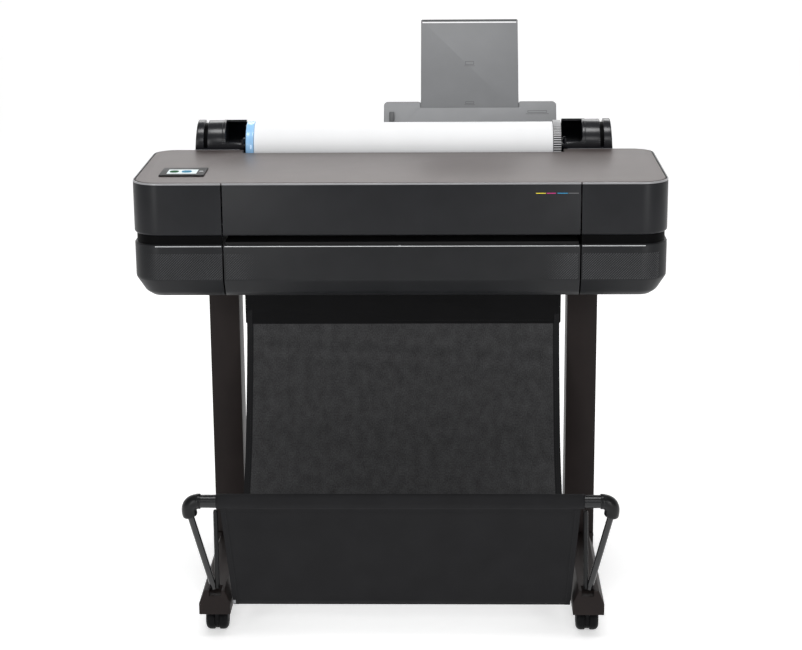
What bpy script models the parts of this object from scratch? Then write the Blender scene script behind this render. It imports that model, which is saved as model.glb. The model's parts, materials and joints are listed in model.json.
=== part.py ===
"""A large format plotter on a wheeled stand, with a paper roll, a sheet tray and a cloth catch bin.

Units are metres, +Z is up and the front faces -Y. While the pieces are made, Y = 0 is the
printer's front face and Z = 0 is the floor. The last step slides the whole machine along Y, so
that the origin ends up on the floor under the middle of its bounding box.
"""
import math

import bmesh
import bpy
from mathutils import Matrix, Vector

# ---------------------------------------------------------------- driving dimensions
CLEARANCE = 0.0003          # between pieces that touch
SEAM = 0.0008               # open joint that shows between two covers
WALL = 0.003                # moulded cover thickness

# Printer casing
PRINTER_WIDTH = 1.013
CASE_DEPTH = 0.372
FRONT_CORNER_R = 0.055
REAR_CORNER_R = 0.045
CORNER_STEPS = 7
CASE_BOTTOM_Z = 0.6535
CHAMFER_HEIGHT = 0.0365
CHAMFER_INSET = 0.030
LOWER_BAND_TOP_Z = 0.7575
SLOT_HEIGHT = 0.024
SLOT_INSET = 0.0045
UPPER_BAND_HEIGHT = 0.0909
TRIM_HEIGHT = 0.0033
TRIM_WIDTH = 0.0025
TOP_COVER_INSET = 0.0035
TOP_COVER_THICKNESS = 0.005
LEFT_SEAM_X = -(PRINTER_WIDTH / 2 - 0.173)
RIGHT_SEAM_X = PRINTER_WIDTH / 2 - 0.166
INK_DOOR_RETURN = 0.091     # how far the ink door runs back along the side

SLOT_TOP_Z = LOWER_BAND_TOP_Z + SLOT_HEIGHT
UPPER_BAND_TOP_Z = SLOT_TOP_Z + UPPER_BAND_HEIGHT
TRIM_TOP_Z = UPPER_BAND_TOP_Z + TRIM_HEIGHT
HALF_WIDTH = PRINTER_WIDTH / 2

# Control panel on the top cover
PANEL_CENTRE = (-0.417, 0.110)
PANEL_SIZE = (0.086, 0.080)
PANEL_HEIGHT = 0.0025
BUTTON_R = 0.0045
BUTTON_TRAVEL = 0.0008
BUTTON_OFFSET_X = 0.034

# Roll, spindle and their holders
ROLL_WIDTH = 0.6096
ROLL_R = 0.050
ROLL_CORE_R = 0.026
ROLL_AXIS_Y = CASE_DEPTH + 0.0315
ROLL_AXIS_Z = 0.8757
NOTCH_EDGE_Y = CASE_DEPTH - 0.042  # the top cover stops here in front of the roll
NOTCH_SIDE_GAP = 0.005
HUB_R = 0.0535
HUB_WIDTH = 0.016
SPINDLE_R = 0.012
REAR_SEAM_X = ROLL_WIDTH / 2 + HUB_WIDTH + 0.0132   # the rear cover ends here, past the notch
HOLDER_INNER_X = ROLL_WIDTH / 2 + 0.0197
HOLDER_OUTER_X = HOLDER_INNER_X + 0.1045
HOLDER_R = 0.046
HOLDER_AXIS_Y = ROLL_AXIS_Y + 0.015
HOLDER_AXIS_Z = 0.884
HOLDER_WALL = 0.005
DISC_WIDTH = 0.019
DISC_GAP = 0.0071
CRADLE_WIDTH = 0.040
CRADLE_OPEN_DEG = 24.0      # the cradle's front lip, above the holder's axis
TROUGH_GAP = 0.0065
TROUGH_WALL = 0.004

# Sheet tray behind the roll
TRAY_PIVOT_Y = ROLL_AXIS_Y + 0.071
TRAY_PIVOT_Z = 0.862
TRAY_LEAN_DEG = 30.0
TRAY_BARREL_R = 0.006
TRAY_LEFT_X = -0.0438
TRAY_RIGHT_X = 0.3183
TRAY_LENGTH = 0.100
TRAY_LIP_LENGTH = 0.086
TRAY_THICKNESS = 0.010
TRAY_EXTENSION_X = (0.0340, 0.2395)
TRAY_EXTENSION_OUT = 0.202
TRAY_EXTENSION_HELD = 0.014
TRAY_EXTENSION_THICKNESS = 0.004
TRAY_POCKET_DEPTH = 0.078
GUIDE_HEIGHT = 0.045
GUIDE_WIDTH = 0.010
GUIDE_THICKNESS = 0.006
GUIDE_INSET = 0.012
GUIDE_FOOT = 0.030          # how far up the tray the guide starts

# Print engine
PLATEN_TOP_Z = 0.7630
PLATEN_REAR_Y = 0.198
PLATE_X = PRINTER_WIDTH / 2 - 0.0395  # inner face of each chassis plate
PLATE_THICKNESS = 0.003
FEED_ROLLER_R = 0.010
FEED_ROLLER_Y = 0.212
PINCH_ROLLER_R = 0.005
RAIL_Y = (0.2052, 0.2352)
RAIL_Z = (0.790, 0.815)
CARRIAGE_WIDTH = 0.110
CARRIAGE_PARK_X = PLATE_X - 0.062
CARRIAGE_Y = (0.118, 0.2047)
CARRIAGE_Z = (0.773, 0.850)
PULLEY_R = 0.010
PULLEY_X = PLATE_X - 0.022
BELT_THICKNESS = 0.0015
BELT_HEIGHT = 0.006
BELT_Z = 0.8205
PULLEY_RIM = 0.0010
MOTOR_R = 0.0140
MOTOR_HEIGHT = 0.042
STATION_X = (-0.052, 0.058)  # service station, from the parked carriage's middle
STATION_Y = (0.120, 0.196)
STATION_LOW_Z = 0.700
SUPPLY_LOW = (-0.455, 0.215)
SUPPLY_HIGH = (-0.335, 0.325)
SUPPLY_TOP_Z = 0.735
INLET_X = -0.400
INLET_Z = 0.713
INLET_SIZE = (0.048, 0.006, 0.026)
INLET_RIM = 0.004

# Ink cartridges behind the ink door
INK_COLOURS = ("yellow", "magenta", "cyan", "black")
CARTRIDGE_WIDTH = 0.0215
CARTRIDGE_LENGTH = 0.072
CARTRIDGE_HEIGHT = 0.066
CARTRIDGE_FRONT_Y = 0.036
INK_BAY_X = PLATE_X - 0.111
INK_BAY_FLOOR_Z = 0.786
INK_BAY_WALL = 0.003

# Stand
STAND_HALF_SPAN = 0.360     # middle of each leg and foot
LEG_WIDTH = 0.060
LEG_DEPTH = 0.075
LEG_WALL = 0.002
LEG_FRONT_Y = 0.2282
LEG_CAP_HEIGHT = 0.003
FOOT_FRONT_Y = -0.090
FOOT_REAR_Y = 0.4725
FOOT_BOTTOM_Z = 0.0485
FOOT_SIDE_HEIGHT = 0.0225
FOOT_TOP_Z = 0.098
FOOT_TOP_WIDTH = 0.0385
FOOT_WALL = 0.0025
CROSS_RAIL_Z = (0.604, 0.648)
CROSS_RAIL_DEPTH = 0.040

# Casters
WHEEL_R = 0.023
WHEEL_SIDES = 20
CASTER_WIDTH = 0.044
CASTER_FIN = 0.008
CASTER_TRAIL = 0.010
CASTER_FRONT_Y = -0.052
CASTER_REAR_Y = 0.4345
STEM_R = 0.005

# Catch bin
BAR_R = 0.0125
BAR_Y = -0.120
BAR_Z = 0.2905
BAR_HALF_LENGTH = STAND_HALF_SPAN + 0.017
ELBOW_R = 0.0145
ELBOW_REACH = 0.031
ELBOW_CORNER_X = STAND_HALF_SPAN + 0.044
ARM_R = 0.0072
STRUT_R = 0.0055
BIN_PIVOT_Y = -0.078
BIN_PIVOT_Z = 0.0985
ARM_FOOT_X = STAND_HALF_SPAN + 0.0015
STRUT_TOP_X = STAND_HALF_SPAN - 0.0105
STRUT_FOOT_X = STAND_HALF_SPAN - 0.0055
ARM_SLOT_WIDTH = 0.024
SLEEVE_HALF_LENGTH = STAND_HALF_SPAN - 0.008
CLOTH = 0.0015
FRONT_CLOTH_TOP_HALF = STAND_HALF_SPAN - 0.0195
FRONT_CLOTH_BOTTOM_HALF = STAND_HALF_SPAN - 0.0335
FRONT_CLOTH_BOTTOM = (-0.072, 0.062)
BACK_CLOTH_HALF = STAND_HALF_SPAN - 0.046
BACK_CLOTH_LINE = ((0.222, CASE_BOTTOM_Z), (0.222, 0.545), (0.120, 0.300), (-0.020, 0.082),
                   (-0.066, 0.066))


# ---------------------------------------------------------------- materials
def material(name, colour, roughness, metallic=0.0):
    """A Principled material, made once and then shared by name."""
    found = bpy.data.materials.get(name)
    if found:
        return found
    made = bpy.data.materials.new(name)
    made.use_nodes = True
    shader = made.node_tree.nodes["Principled BSDF"]
    shader.inputs["Base Color"].default_value = (*colour, 1.0)
    shader.inputs["Roughness"].default_value = roughness
    shader.inputs["Metallic"].default_value = metallic
    made.diffuse_color = (*colour, 1.0)
    return made


def charcoal():
    return material("charcoal_plastic", (0.040, 0.042, 0.046), 0.45)


def black_plastic():
    return material("black_plastic", (0.018, 0.019, 0.021), 0.30)


def taupe():
    return material("taupe_plastic", (0.190, 0.168, 0.160), 0.40)


def trim_grey():
    return material("trim_grey", (0.330, 0.330, 0.340), 0.35)


def brown_steel():
    return material("brown_steel", (0.040, 0.032, 0.030), 0.45, 0.2)


def black_tube():
    return material("black_tube", (0.030, 0.031, 0.033), 0.35, 0.2)


def plain_steel():
    return material("plain_steel", (0.550, 0.560, 0.570), 0.35, 1.0)


def tray_grey():
    return material("tray_grey", (0.230, 0.235, 0.240), 0.45)


def bin_cloth():
    return material("bin_cloth", (0.020, 0.020, 0.022), 0.95)


def tyre_rubber():
    return material("tyre_rubber", (0.016, 0.016, 0.018), 0.60)


# ---------------------------------------------------------------- mesh helpers
def finish_mesh(name, bm, surface, origin=(0, 0, 0)):
    """Closes a bmesh into an object whose own origin lies at the given point."""
    bmesh.ops.recalc_face_normals(bm, faces=bm.faces)
    bmesh.ops.translate(bm, verts=bm.verts, vec=-Vector(origin))
    mesh = bpy.data.meshes.new(name)
    bm.to_mesh(mesh)
    bm.free()
    piece = bpy.data.objects.new(name, mesh)
    piece.location = origin
    mesh.materials.append(surface)
    mesh.shade_smooth()
    mesh.set_sharp_from_angle(angle=math.radians(35))
    bpy.context.collection.objects.link(piece)
    return piece


def box(name, low, high, surface, origin=(0, 0, 0)):
    """A rectangular block between two opposite corners."""
    bm = bmesh.new()
    middle = (Vector(low) + Vector(high)) / 2
    size = Vector(high) - Vector(low)
    place = Matrix.Translation(middle) @ Matrix.Diagonal((*size, 1.0))
    bmesh.ops.create_cube(bm, size=1.0, matrix=place)
    return finish_mesh(name, bm, surface, origin)


def prism(name, outline, axis, start, end, surface, origin=(0, 0, 0)):
    """A flat outline, given in the other two axes in X, Y, Z order, run along one axis."""
    def place(point, along):
        spot = list(point)
        spot.insert("XYZ".index(axis), along)
        return spot

    bm = bmesh.new()
    rings = [[bm.verts.new(place(point, along)) for point in outline] for along in (start, end)]
    bm.faces.new(rings[0])
    bm.faces.new(rings[1])
    bridge(bm, rings[0], rings[1])
    return finish_mesh(name, bm, surface, origin)


def bridge(bm, ring, other):
    """Quads between two rings that have the same number of points."""
    for i in range(len(ring)):
        j = (i + 1) % len(ring)
        bm.faces.new((ring[i], ring[j], other[j], other[i]))


def turned(name, profile, axis, centre, surface, sides=28, origin=None, hollow=False, phase=0.0):
    """A profile of (distance along the axis, radius) turned round an X, Y or Z axis.

    An open profile is capped flat at both ends. A hollow one is a closed loop, as for a ring.
    """
    along, across, up = {"X": (0, 1, 2), "Y": (1, 2, 0), "Z": (2, 0, 1)}[axis]
    bm = bmesh.new()
    rings = []
    for distance, radius in profile:
        ring = []
        for step in range(sides):
            angle = phase + math.tau * step / sides
            spot = [0.0, 0.0, 0.0]
            spot[along] = distance
            spot[across] = centre[across] + radius * math.cos(angle)
            spot[up] = centre[up] + radius * math.sin(angle)
            ring.append(bm.verts.new(spot))
        rings.append(ring)
    for ring, other in zip(rings, rings[1:]):
        bridge(bm, ring, other)
    if hollow:
        bridge(bm, rings[-1], rings[0])
    else:
        bm.faces.new(rings[0])
        bm.faces.new(rings[-1])
    return finish_mesh(name, bm, surface, origin or (0, 0, 0))


def rod(name, start, end, radius, surface, sides=14, origin=(0, 0, 0)):
    """A round bar between two points."""
    start, end = Vector(start), Vector(end)
    turn = (end - start).to_track_quat("Z", "Y").to_matrix().to_4x4()
    place = Matrix.Translation((start + end) / 2) @ turn
    bm = bmesh.new()
    bmesh.ops.create_cone(bm, cap_ends=True, segments=sides, radius1=radius, radius2=radius,
                          depth=(end - start).length, matrix=place)
    return finish_mesh(name, bm, surface, origin)


def combine(piece, tool, operation):
    """Adds or removes a helper solid. The helper stays in the file as a hidden guide."""
    step = piece.modifiers.new(tool.name, "BOOLEAN")
    step.operation = operation
    step.object = tool
    tool.hide_render = True
    tool.display_type = "WIRE"


def weld(piece, *tools):
    for tool in tools:
        combine(piece, tool, "UNION")


def cut(piece, *tools):
    for tool in tools:
        combine(piece, tool, "DIFFERENCE")


def arc(centre, radius, start_deg, end_deg, steps):
    """Points on a circle, both ends included."""
    points = []
    for i in range(steps + 1):
        angle = math.radians(start_deg + (end_deg - start_deg) * i / steps)
        points.append((centre[0] + radius * math.cos(angle), centre[1] + radius * math.sin(angle)))
    return points


# ---------------------------------------------------------------- the casing's plan outline
def outline_stations():
    """The plan outline as (distance run, point, inward normal), from the rear middle by the left."""
    rear, front = REAR_CORNER_R, FRONT_CORNER_R
    corners = (
        ((-HALF_WIDTH + rear, CASE_DEPTH - rear), rear, 90),
        ((-HALF_WIDTH + front, front), front, 180),
        ((HALF_WIDTH - front, front), front, 270),
        ((HALF_WIDTH - rear, CASE_DEPTH - rear), rear, 0),
    )
    points = [(Vector((0, CASE_DEPTH)), Vector((0, -1)))]
    for centre, radius, first in corners:
        for x, y in arc(centre, radius, first, first + 90, CORNER_STEPS):
            points.append((Vector((x, y)), (Vector(centre) - Vector((x, y))) / radius))
    points.append((Vector((0, CASE_DEPTH)), Vector((0, -1))))
    stations, run = [], 0.0
    for i, (point, normal) in enumerate(points):
        if i:
            run += (point - points[i - 1][0]).length
        stations.append((run, point, normal))
    return stations


STATIONS = outline_stations()


def station(side, value):
    """How far round the outline a place on one of its straight sides lies."""
    anchors = {"rear_left": (0, -1, 0.0), "left": (CORNER_STEPS + 1, -1, CASE_DEPTH - REAR_CORNER_R),
               "front": (2 * CORNER_STEPS + 2, 1, -HALF_WIDTH + FRONT_CORNER_R),
               "right": (3 * CORNER_STEPS + 3, 1, FRONT_CORNER_R),
               "rear_right": (4 * CORNER_STEPS + 4, -1, HALF_WIDTH - REAR_CORNER_R)}
    index, sign, first = anchors[side]
    return STATIONS[index][0] + sign * (value - first)


def outline_between(start, end):
    """Points and inward normals of the outline from one distance to another."""
    def at(run):
        for (a, p, n), (b, q, m) in zip(STATIONS, STATIONS[1:]):
            if a <= run <= b and b > a:
                t = (run - a) / (b - a)
                return p.lerp(q, t), n.lerp(m, t).normalized()
        return STATIONS[-1][1], STATIONS[-1][2]

    inner = [(p, n) for run, p, n in STATIONS if start + 1e-6 < run < end - 1e-6]
    return [at(start), *inner, at(end)]


def band(name, profile, start, end, surface, origin=(0, 0, 0)):
    """Sweeps a profile of (inset from the outline, height) along a stretch of the outline."""
    bm = bmesh.new()
    rings = []
    for point, normal in outline_between(start, end):
        ring = []
        for inset, height in profile:
            spot = point + normal * inset
            ring.append(bm.verts.new((spot.x, spot.y, height)))
        rings.append(ring)
    for ring, other in zip(rings, rings[1:]):
        bridge(bm, ring, other)
    bm.faces.new(rings[0])
    bm.faces.new(rings[-1])
    return finish_mesh(name, bm, surface, origin)


# ---------------------------------------------------------------- casing
def lower_profile(with_rim):
    """Section of the lower band: a wall with a chamfer below, and a rim that backs the slot."""
    bend_z = CASE_BOTTOM_Z + CHAMFER_HEIGHT
    shape = [(0, LOWER_BAND_TOP_Z), (0, bend_z), (CHAMFER_INSET, CASE_BOTTOM_Z),
             (CHAMFER_INSET + WALL, CASE_BOTTOM_Z), (WALL, bend_z + 0.4 * WALL)]
    if not with_rim:
        return shape + [(WALL, LOWER_BAND_TOP_Z)]
    shelf_z = LOWER_BAND_TOP_Z - WALL
    rim_top = SLOT_TOP_Z - CLEARANCE
    return shape + [(WALL, shelf_z), (SLOT_INSET + WALL, shelf_z), (SLOT_INSET + WALL, rim_top),
                    (SLOT_INSET, rim_top), (SLOT_INSET, LOWER_BAND_TOP_Z)]


def upper_profile():
    low, high = SLOT_TOP_Z, UPPER_BAND_TOP_Z - CLEARANCE
    return [(0, low), (0, high), (WALL, high), (WALL, low)]


def make_casing():
    half_seam = SEAM / 2
    front_left = station("front", LEFT_SEAM_X - half_seam)
    front_right = station("front", RIGHT_SEAM_X + half_seam)
    rear_left = station("rear_left", -REAR_SEAM_X - SEAM)
    rear_right = station("rear_right", REAR_SEAM_X + SEAM)
    door_end = station("right", INK_DOOR_RETURN - SEAM)
    window = (station("front", LEFT_SEAM_X + half_seam), station("front", RIGHT_SEAM_X - half_seam))

    band("left_upper_cover", upper_profile(), rear_left, front_left, charcoal())
    band("right_upper_cover", upper_profile(), door_end + SEAM, rear_right, charcoal())
    hinge = (HALF_WIDTH, INK_DOOR_RETURN - 0.1 * SEAM, SLOT_TOP_Z)
    band("ink_door", upper_profile(), front_right, door_end, charcoal(), hinge)
    band("front_window", window_profile(), *window, charcoal(), window_hinge())
    band("lower_left_cover", lower_profile(True), rear_left, front_left, charcoal())
    band("lower_right_cover", lower_profile(True), front_right, rear_right, charcoal())
    band("lower_front_cover", lower_profile(False), *window, charcoal())

    low, high = UPPER_BAND_TOP_Z, TRIM_TOP_Z
    trim = [(0, low), (0, high), (TRIM_WIDTH, high), (TRIM_WIDTH, low)]
    band("top_trim", trim, rear_left, rear_right, trim_grey())
    make_top_cover()
    make_rear()

    pan = [tuple(p + n * (CHAMFER_INSET + WALL + CLEARANCE)) for _, p, n in STATIONS[1:-1]]
    prism("base_pan", pan, "Z", CASE_BOTTOM_Z, CASE_BOTTOM_Z + WALL, black_plastic())


def window_hinge():
    """The window turns about the middle of its round top edge."""
    return (0, WALL / 2, UPPER_BAND_TOP_Z - CLEARANCE - WALL / 2)


def window_profile():
    """The window's section ends in a half round at the top, where it hinges."""
    hinge = window_hinge()
    top = arc((hinge[1], hinge[2]), WALL / 2, 180, 0, 5)
    return [(0, SLOT_TOP_Z), *top, (WALL, SLOT_TOP_Z)]


def make_top_cover():
    """The plate inside the trim, cut back in front of the roll."""
    notch_half = ROLL_WIDTH / 2 + HUB_WIDTH + NOTCH_SIDE_GAP
    rim = outline_between(station("rear_left", -notch_half), station("rear_right", notch_half))
    plan = [tuple(p + n * TOP_COVER_INSET) for p, n in rim]
    plan += [(notch_half, NOTCH_EDGE_Y), (-notch_half, NOTCH_EDGE_Y)]
    top = TRIM_TOP_Z + CLEARANCE
    prism("top_cover", plan, "Z", top - TOP_COVER_THICKNESS, top, taupe())


def make_rear():
    """The rear wall under the roll, and the trough that the roll turns in."""
    radius = ROLL_R + TROUGH_GAP
    bend_z = CASE_BOTTOM_Z + CHAMFER_HEIGHT
    lip = radius + TROUGH_WALL + CLEARANCE
    wall_top = ROLL_AXIS_Z - math.sqrt(lip ** 2 - (ROLL_AXIS_Y - CASE_DEPTH) ** 2)
    shape = [(CASE_DEPTH, wall_top), (CASE_DEPTH, bend_z),
             (CASE_DEPTH - CHAMFER_INSET, CASE_BOTTOM_Z),
             (CASE_DEPTH - CHAMFER_INSET - WALL, CASE_BOTTOM_Z),
             (CASE_DEPTH - WALL, bend_z + 0.4 * WALL), (CASE_DEPTH - WALL, wall_top)]
    prism("rear_cover", shape, "X", -REAR_SEAM_X, REAR_SEAM_X, charcoal())

    centre = (ROLL_AXIS_Y, ROLL_AXIS_Z)
    inside = arc(centre, radius, 352, 188, 14)
    outside = arc(centre, radius + TROUGH_WALL, 192, 352, 14)
    lip_z = inside[-1][1]
    lip_y = NOTCH_EDGE_Y + TOP_COVER_INSET
    shape = inside + [(lip_y, lip_z), (lip_y, outside[0][1])] + outside
    half = HOLDER_INNER_X - SEAM
    trough = prism("roll_trough", shape, "X", -half, half, black_plastic())
    mount_z = TRAY_PIVOT_Z - TRAY_BARREL_R - CLEARANCE
    middle_r = radius + TROUGH_WALL / 2
    back_y = ROLL_AXIS_Y + math.sqrt(middle_r ** 2 - (ROLL_AXIS_Z - mount_z) ** 2)
    weld(trough, box("tray_mount", (TRAY_LEFT_X, back_y, mount_z - 0.018),
                     (TRAY_RIGHT_X, TRAY_PIVOT_Y + 0.010, mount_z), black_plastic()))


def make_control_panel():
    x, y = PANEL_CENTRE
    half_x, half_y = PANEL_SIZE[0] / 2, PANEL_SIZE[1] / 2
    low = TRIM_TOP_Z + 2 * CLEARANCE
    high = low + PANEL_HEIGHT
    panel = box("control_panel", (x - half_x, y - half_y, low), (x + half_x, y + half_y, high),
                black_plastic())
    button = (x + BUTTON_OFFSET_X, y, high)
    pocket_z = high - 0.8 * PANEL_HEIGHT
    cut(panel, turned("button_pocket", [(pocket_z, BUTTON_R + 0.0005), (high + 0.01, BUTTON_R + 0.0005)],
                      "Z", button, black_plastic(), 16))
    bottom = pocket_z + BUTTON_TRAVEL + CLEARANCE
    turned("power_button", [(bottom, BUTTON_R), (high + 0.0006, BUTTON_R)], "Z", button,
           trim_grey(), 16, button)


# ---------------------------------------------------------------- roll and sheet tray
def make_roll():
    axis = (0, ROLL_AXIS_Y, ROLL_AXIS_Z)
    half = ROLL_WIDTH / 2
    ring = [(-half, ROLL_CORE_R), (half, ROLL_CORE_R), (half, ROLL_R), (-half, ROLL_R)]
    paper = material("roll_paper", (0.85, 0.85, 0.85), 0.80)
    turned("paper_roll", ring, "X", axis, paper, 36, axis, hollow=True)

    blue = material("blue_hub", (0.10, 0.38, 0.75), 0.35)
    ribbed = material("hub_grey", (0.10, 0.10, 0.11), 0.40)
    inner = half + CLEARANCE
    outer = inner + HUB_WIDTH
    bore = SPINDLE_R + CLEARANCE
    plug_r, plug = ROLL_CORE_R - CLEARANCE, 0.030
    for name, side, surface in (("left_hub", -1, blue), ("right_hub", 1, ribbed)):
        ring = [(side * (half - plug), bore), (side * (half - plug), plug_r), (side * inner, plug_r),
                (side * inner, HUB_R), (side * outer, HUB_R), (side * outer, bore)]
        turned(name, ring, "X", axis, surface, 32, axis, hollow=True)

    reach = HOLDER_INNER_X + CRADLE_WIDTH - 0.003
    turned("spindle", [(-reach, SPINDLE_R), (reach, SPINDLE_R)], "X", axis, black_plastic(), 20, axis)


def make_roll_holder(name, side):
    """A round housing and disc, with an open cradle that the spindle drops into."""
    disc_out = side * HOLDER_OUTER_X
    disc_in = disc_out - side * DISC_WIDTH
    house_out = disc_in - side * DISC_GAP
    house_in = side * (HOLDER_INNER_X + CRADLE_WIDTH)
    cradle_in = side * HOLDER_INNER_X
    neck_r = HOLDER_R - 0.007
    edge = 0.002
    profile = [(disc_out, HOLDER_R - 2 * edge), (disc_out - side * edge, HOLDER_R),
               (disc_in, HOLDER_R), (disc_in, neck_r), (house_out, neck_r), (house_out, HOLDER_R),
               (house_in, HOLDER_R)]
    centre = (0, HOLDER_AXIS_Y, HOLDER_AXIS_Z)
    holder = turned(name, profile, "X", centre, black_plastic(), 32)

    middle = (HOLDER_AXIS_Y, HOLDER_AXIS_Z)
    outside = arc(middle, HOLDER_R, 85, -180 - CRADLE_OPEN_DEG, 18)
    inside = arc(middle, HOLDER_R - HOLDER_WALL, -180 - CRADLE_OPEN_DEG, 85, 18)
    cradle = prism(name + "_cradle", outside + inside, "X", cradle_in, house_in + side * edge,
                   black_plastic())
    low_y, high_y = HOLDER_AXIS_Y - HOLDER_R, HOLDER_AXIS_Y + HOLDER_R
    saddle_x = (cradle_in + side * 0.016, cradle_in + side * 0.028)
    saddle_low = HOLDER_AXIS_Z - HOLDER_R + 0.8 * HOLDER_WALL
    saddle = box(name + "_saddle", (min(saddle_x), ROLL_AXIS_Y - 1.5 * SPINDLE_R, saddle_low),
                 (max(saddle_x), ROLL_AXIS_Y + 1.5 * SPINDLE_R, ROLL_AXIS_Z), black_plastic())
    seat_r = SPINDLE_R + CLEARANCE
    seat = [(min(saddle_x) - 0.01, seat_r), (max(saddle_x) + 0.01, seat_r)]
    spindle_line = (0, ROLL_AXIS_Y, ROLL_AXIS_Z)
    cut(saddle, turned(name + "_seat", seat, "X", spindle_line, black_plastic(), 20))

    foot_x = (house_in, disc_out - side * 0.004)
    block_z = (SLOT_TOP_Z, HOLDER_AXIS_Z - 0.020)
    foot = box(name + "_foot", (min(foot_x), low_y, block_z[0]), (max(foot_x), high_y, block_z[1]),
               black_plastic())
    shelf = box(name + "_shelf", (min(cradle_in, house_in), low_y, block_z[0]),
                (max(cradle_in, house_in), high_y, HOLDER_AXIS_Z - HOLDER_R + 0.010), black_plastic())
    room_r = HOLDER_R - HOLDER_WALL
    bore = turned(name + "_room", [(cradle_in - side * 0.01, room_r), (house_in, room_r)], "X", centre,
                  black_plastic(), 32)
    cut(shelf, bore)
    weld(holder, cradle, shelf, foot, saddle)


def tray_point(along, proud, x):
    """A point on the leaning sheet tray: up its face, and out towards the front."""
    lean = math.radians(TRAY_LEAN_DEG)
    y = TRAY_PIVOT_Y + along * math.sin(lean) - proud * math.cos(lean)
    z = TRAY_PIVOT_Z + along * math.cos(lean) + proud * math.sin(lean)
    return (x, y, z)


def tray_slab(name, x_range, along, proud, surface, origin):
    """A block whose edges follow the leaning tray."""
    bm = bmesh.new()
    rings = []
    for x in x_range:
        spots = [(along[0], proud[0]), (along[1], proud[0]), (along[1], proud[1]), (along[0], proud[1])]
        rings.append([bm.verts.new(tray_point(a, p, x)) for a, p in spots])
    bm.faces.new(rings[0])
    bm.faces.new(rings[1])
    bridge(bm, rings[0], rings[1])
    return finish_mesh(name, bm, surface, origin)


def make_sheet_tray():
    """The tray leans on its hinge bar; its extension slides in a pocket between two lips."""
    pivot = (0, TRAY_PIVOT_Y, TRAY_PIVOT_Z)
    width = (TRAY_LEFT_X, TRAY_RIGHT_X)
    half = TRAY_THICKNESS / 2
    start = 0.004
    tray = tray_slab("sheet_tray", width, (start, TRAY_LENGTH), (-half, half), tray_grey(), pivot)
    barrel = [(width[0], TRAY_BARREL_R), (width[1], TRAY_BARREL_R)]
    weld(tray, turned("tray_barrel", barrel, "X", pivot, tray_grey(), 16))
    low_x, high_x = TRAY_EXTENSION_X
    play = 2 * CLEARANCE
    slim = TRAY_EXTENSION_THICKNESS / 2
    pocket = tray_slab("tray_pocket", (low_x - play, high_x + play),
                       (TRAY_LIP_LENGTH - TRAY_POCKET_DEPTH + start, TRAY_LENGTH + 0.05),
                       (-slim - play, slim + play), tray_grey(), pivot)
    front_cut = tray_slab("tray_front_cut", (low_x - play, high_x + play),
                          (TRAY_LIP_LENGTH, TRAY_LENGTH + 0.05), (-slim, half + 0.01), tray_grey(), pivot)
    cut(tray, pocket, front_cut)

    held = (TRAY_LIP_LENGTH - TRAY_EXTENSION_HELD, TRAY_LIP_LENGTH + TRAY_EXTENSION_OUT)
    tray_slab("tray_extension", TRAY_EXTENSION_X, held, (-slim, slim), tray_grey(),
              tray_point(TRAY_LIP_LENGTH, 0, (low_x + high_x) / 2))

    guide_x = TRAY_LEFT_X + GUIDE_INSET
    rise = half + CLEARANCE
    tray_slab("sheet_guide", (guide_x, guide_x + GUIDE_WIDTH), (GUIDE_FOOT, GUIDE_FOOT + GUIDE_HEIGHT),
              (rise, rise + GUIDE_THICKNESS), charcoal(), tray_point(GUIDE_FOOT, rise, guide_x))


# ---------------------------------------------------------------- print engine
def make_print_engine():
    for name, side in (("chassis_plate_left", -1), ("chassis_plate_right", 1)):
        faces = sorted((side * PLATE_X, side * (PLATE_X + PLATE_THICKNESS)))
        low_z = CASE_BOTTOM_Z + WALL + CLEARANCE
        bend_z = CASE_BOTTOM_Z + CHAMFER_HEIGHT + 0.010
        high_z = UPPER_BAND_TOP_Z - 0.006
        rear_y = CASE_DEPTH - REAR_CORNER_R
        shape = [(FRONT_CORNER_R, low_z), (rear_y, low_z), (rear_y, high_z - 0.066),
                 (rear_y - 0.030, high_z), (0.020, high_z), (0.020, bend_z)]
        prism(name, shape, "X", *faces, plain_steel())

    inner = PLATE_X - CLEARANCE
    slot_front = WALL + CLEARANCE
    box("platen", (LEFT_SEAM_X + 0.004, slot_front, PLATEN_TOP_Z - 0.008),
        (RIGHT_SEAM_X - 0.004, PLATEN_REAR_Y, PLATEN_TOP_Z), black_plastic())

    rail = box("carriage_rail", (-inner, RAIL_Y[0], RAIL_Z[0]), (inner, RAIL_Y[1], RAIL_Z[1]),
               plain_steel())
    groove = box("rail_groove", (-inner - 0.01, RAIL_Y[0] + 0.003, RAIL_Z[0] - 0.01),
                 (inner + 0.01, RAIL_Y[1] - 0.003, RAIL_Z[1] - 0.003), plain_steel())
    cut(rail, groove)
    weld(rail, make_idler_bracket())

    feed = (0, FEED_ROLLER_Y, PLATEN_TOP_Z - FEED_ROLLER_R)
    turned("feed_roller", [(-inner, FEED_ROLLER_R), (inner, FEED_ROLLER_R)], "X", feed, plain_steel(),
           20, feed)
    pinch = (0, FEED_ROLLER_Y, PLATEN_TOP_Z + 2 * CLEARANCE + PINCH_ROLLER_R)
    reach = ROLL_WIDTH / 2
    turned("pinch_roller", [(-reach, PINCH_ROLLER_R), (reach, PINCH_ROLLER_R)], "X", pinch,
           tyre_rubber(), 14, pinch)

    make_carriage()
    make_belt_drive()
    box("service_station", (CARRIAGE_PARK_X + STATION_X[0], STATION_Y[0], STATION_LOW_Z),
        (CARRIAGE_PARK_X + STATION_X[1], STATION_Y[1], CARRIAGE_Z[0] - 0.001), charcoal())
    box("power_supply", (*SUPPLY_LOW, CASE_BOTTOM_Z + WALL + CLEARANCE), (*SUPPLY_HIGH, SUPPLY_TOP_Z),
        plain_steel())
    make_power_inlet()


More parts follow.
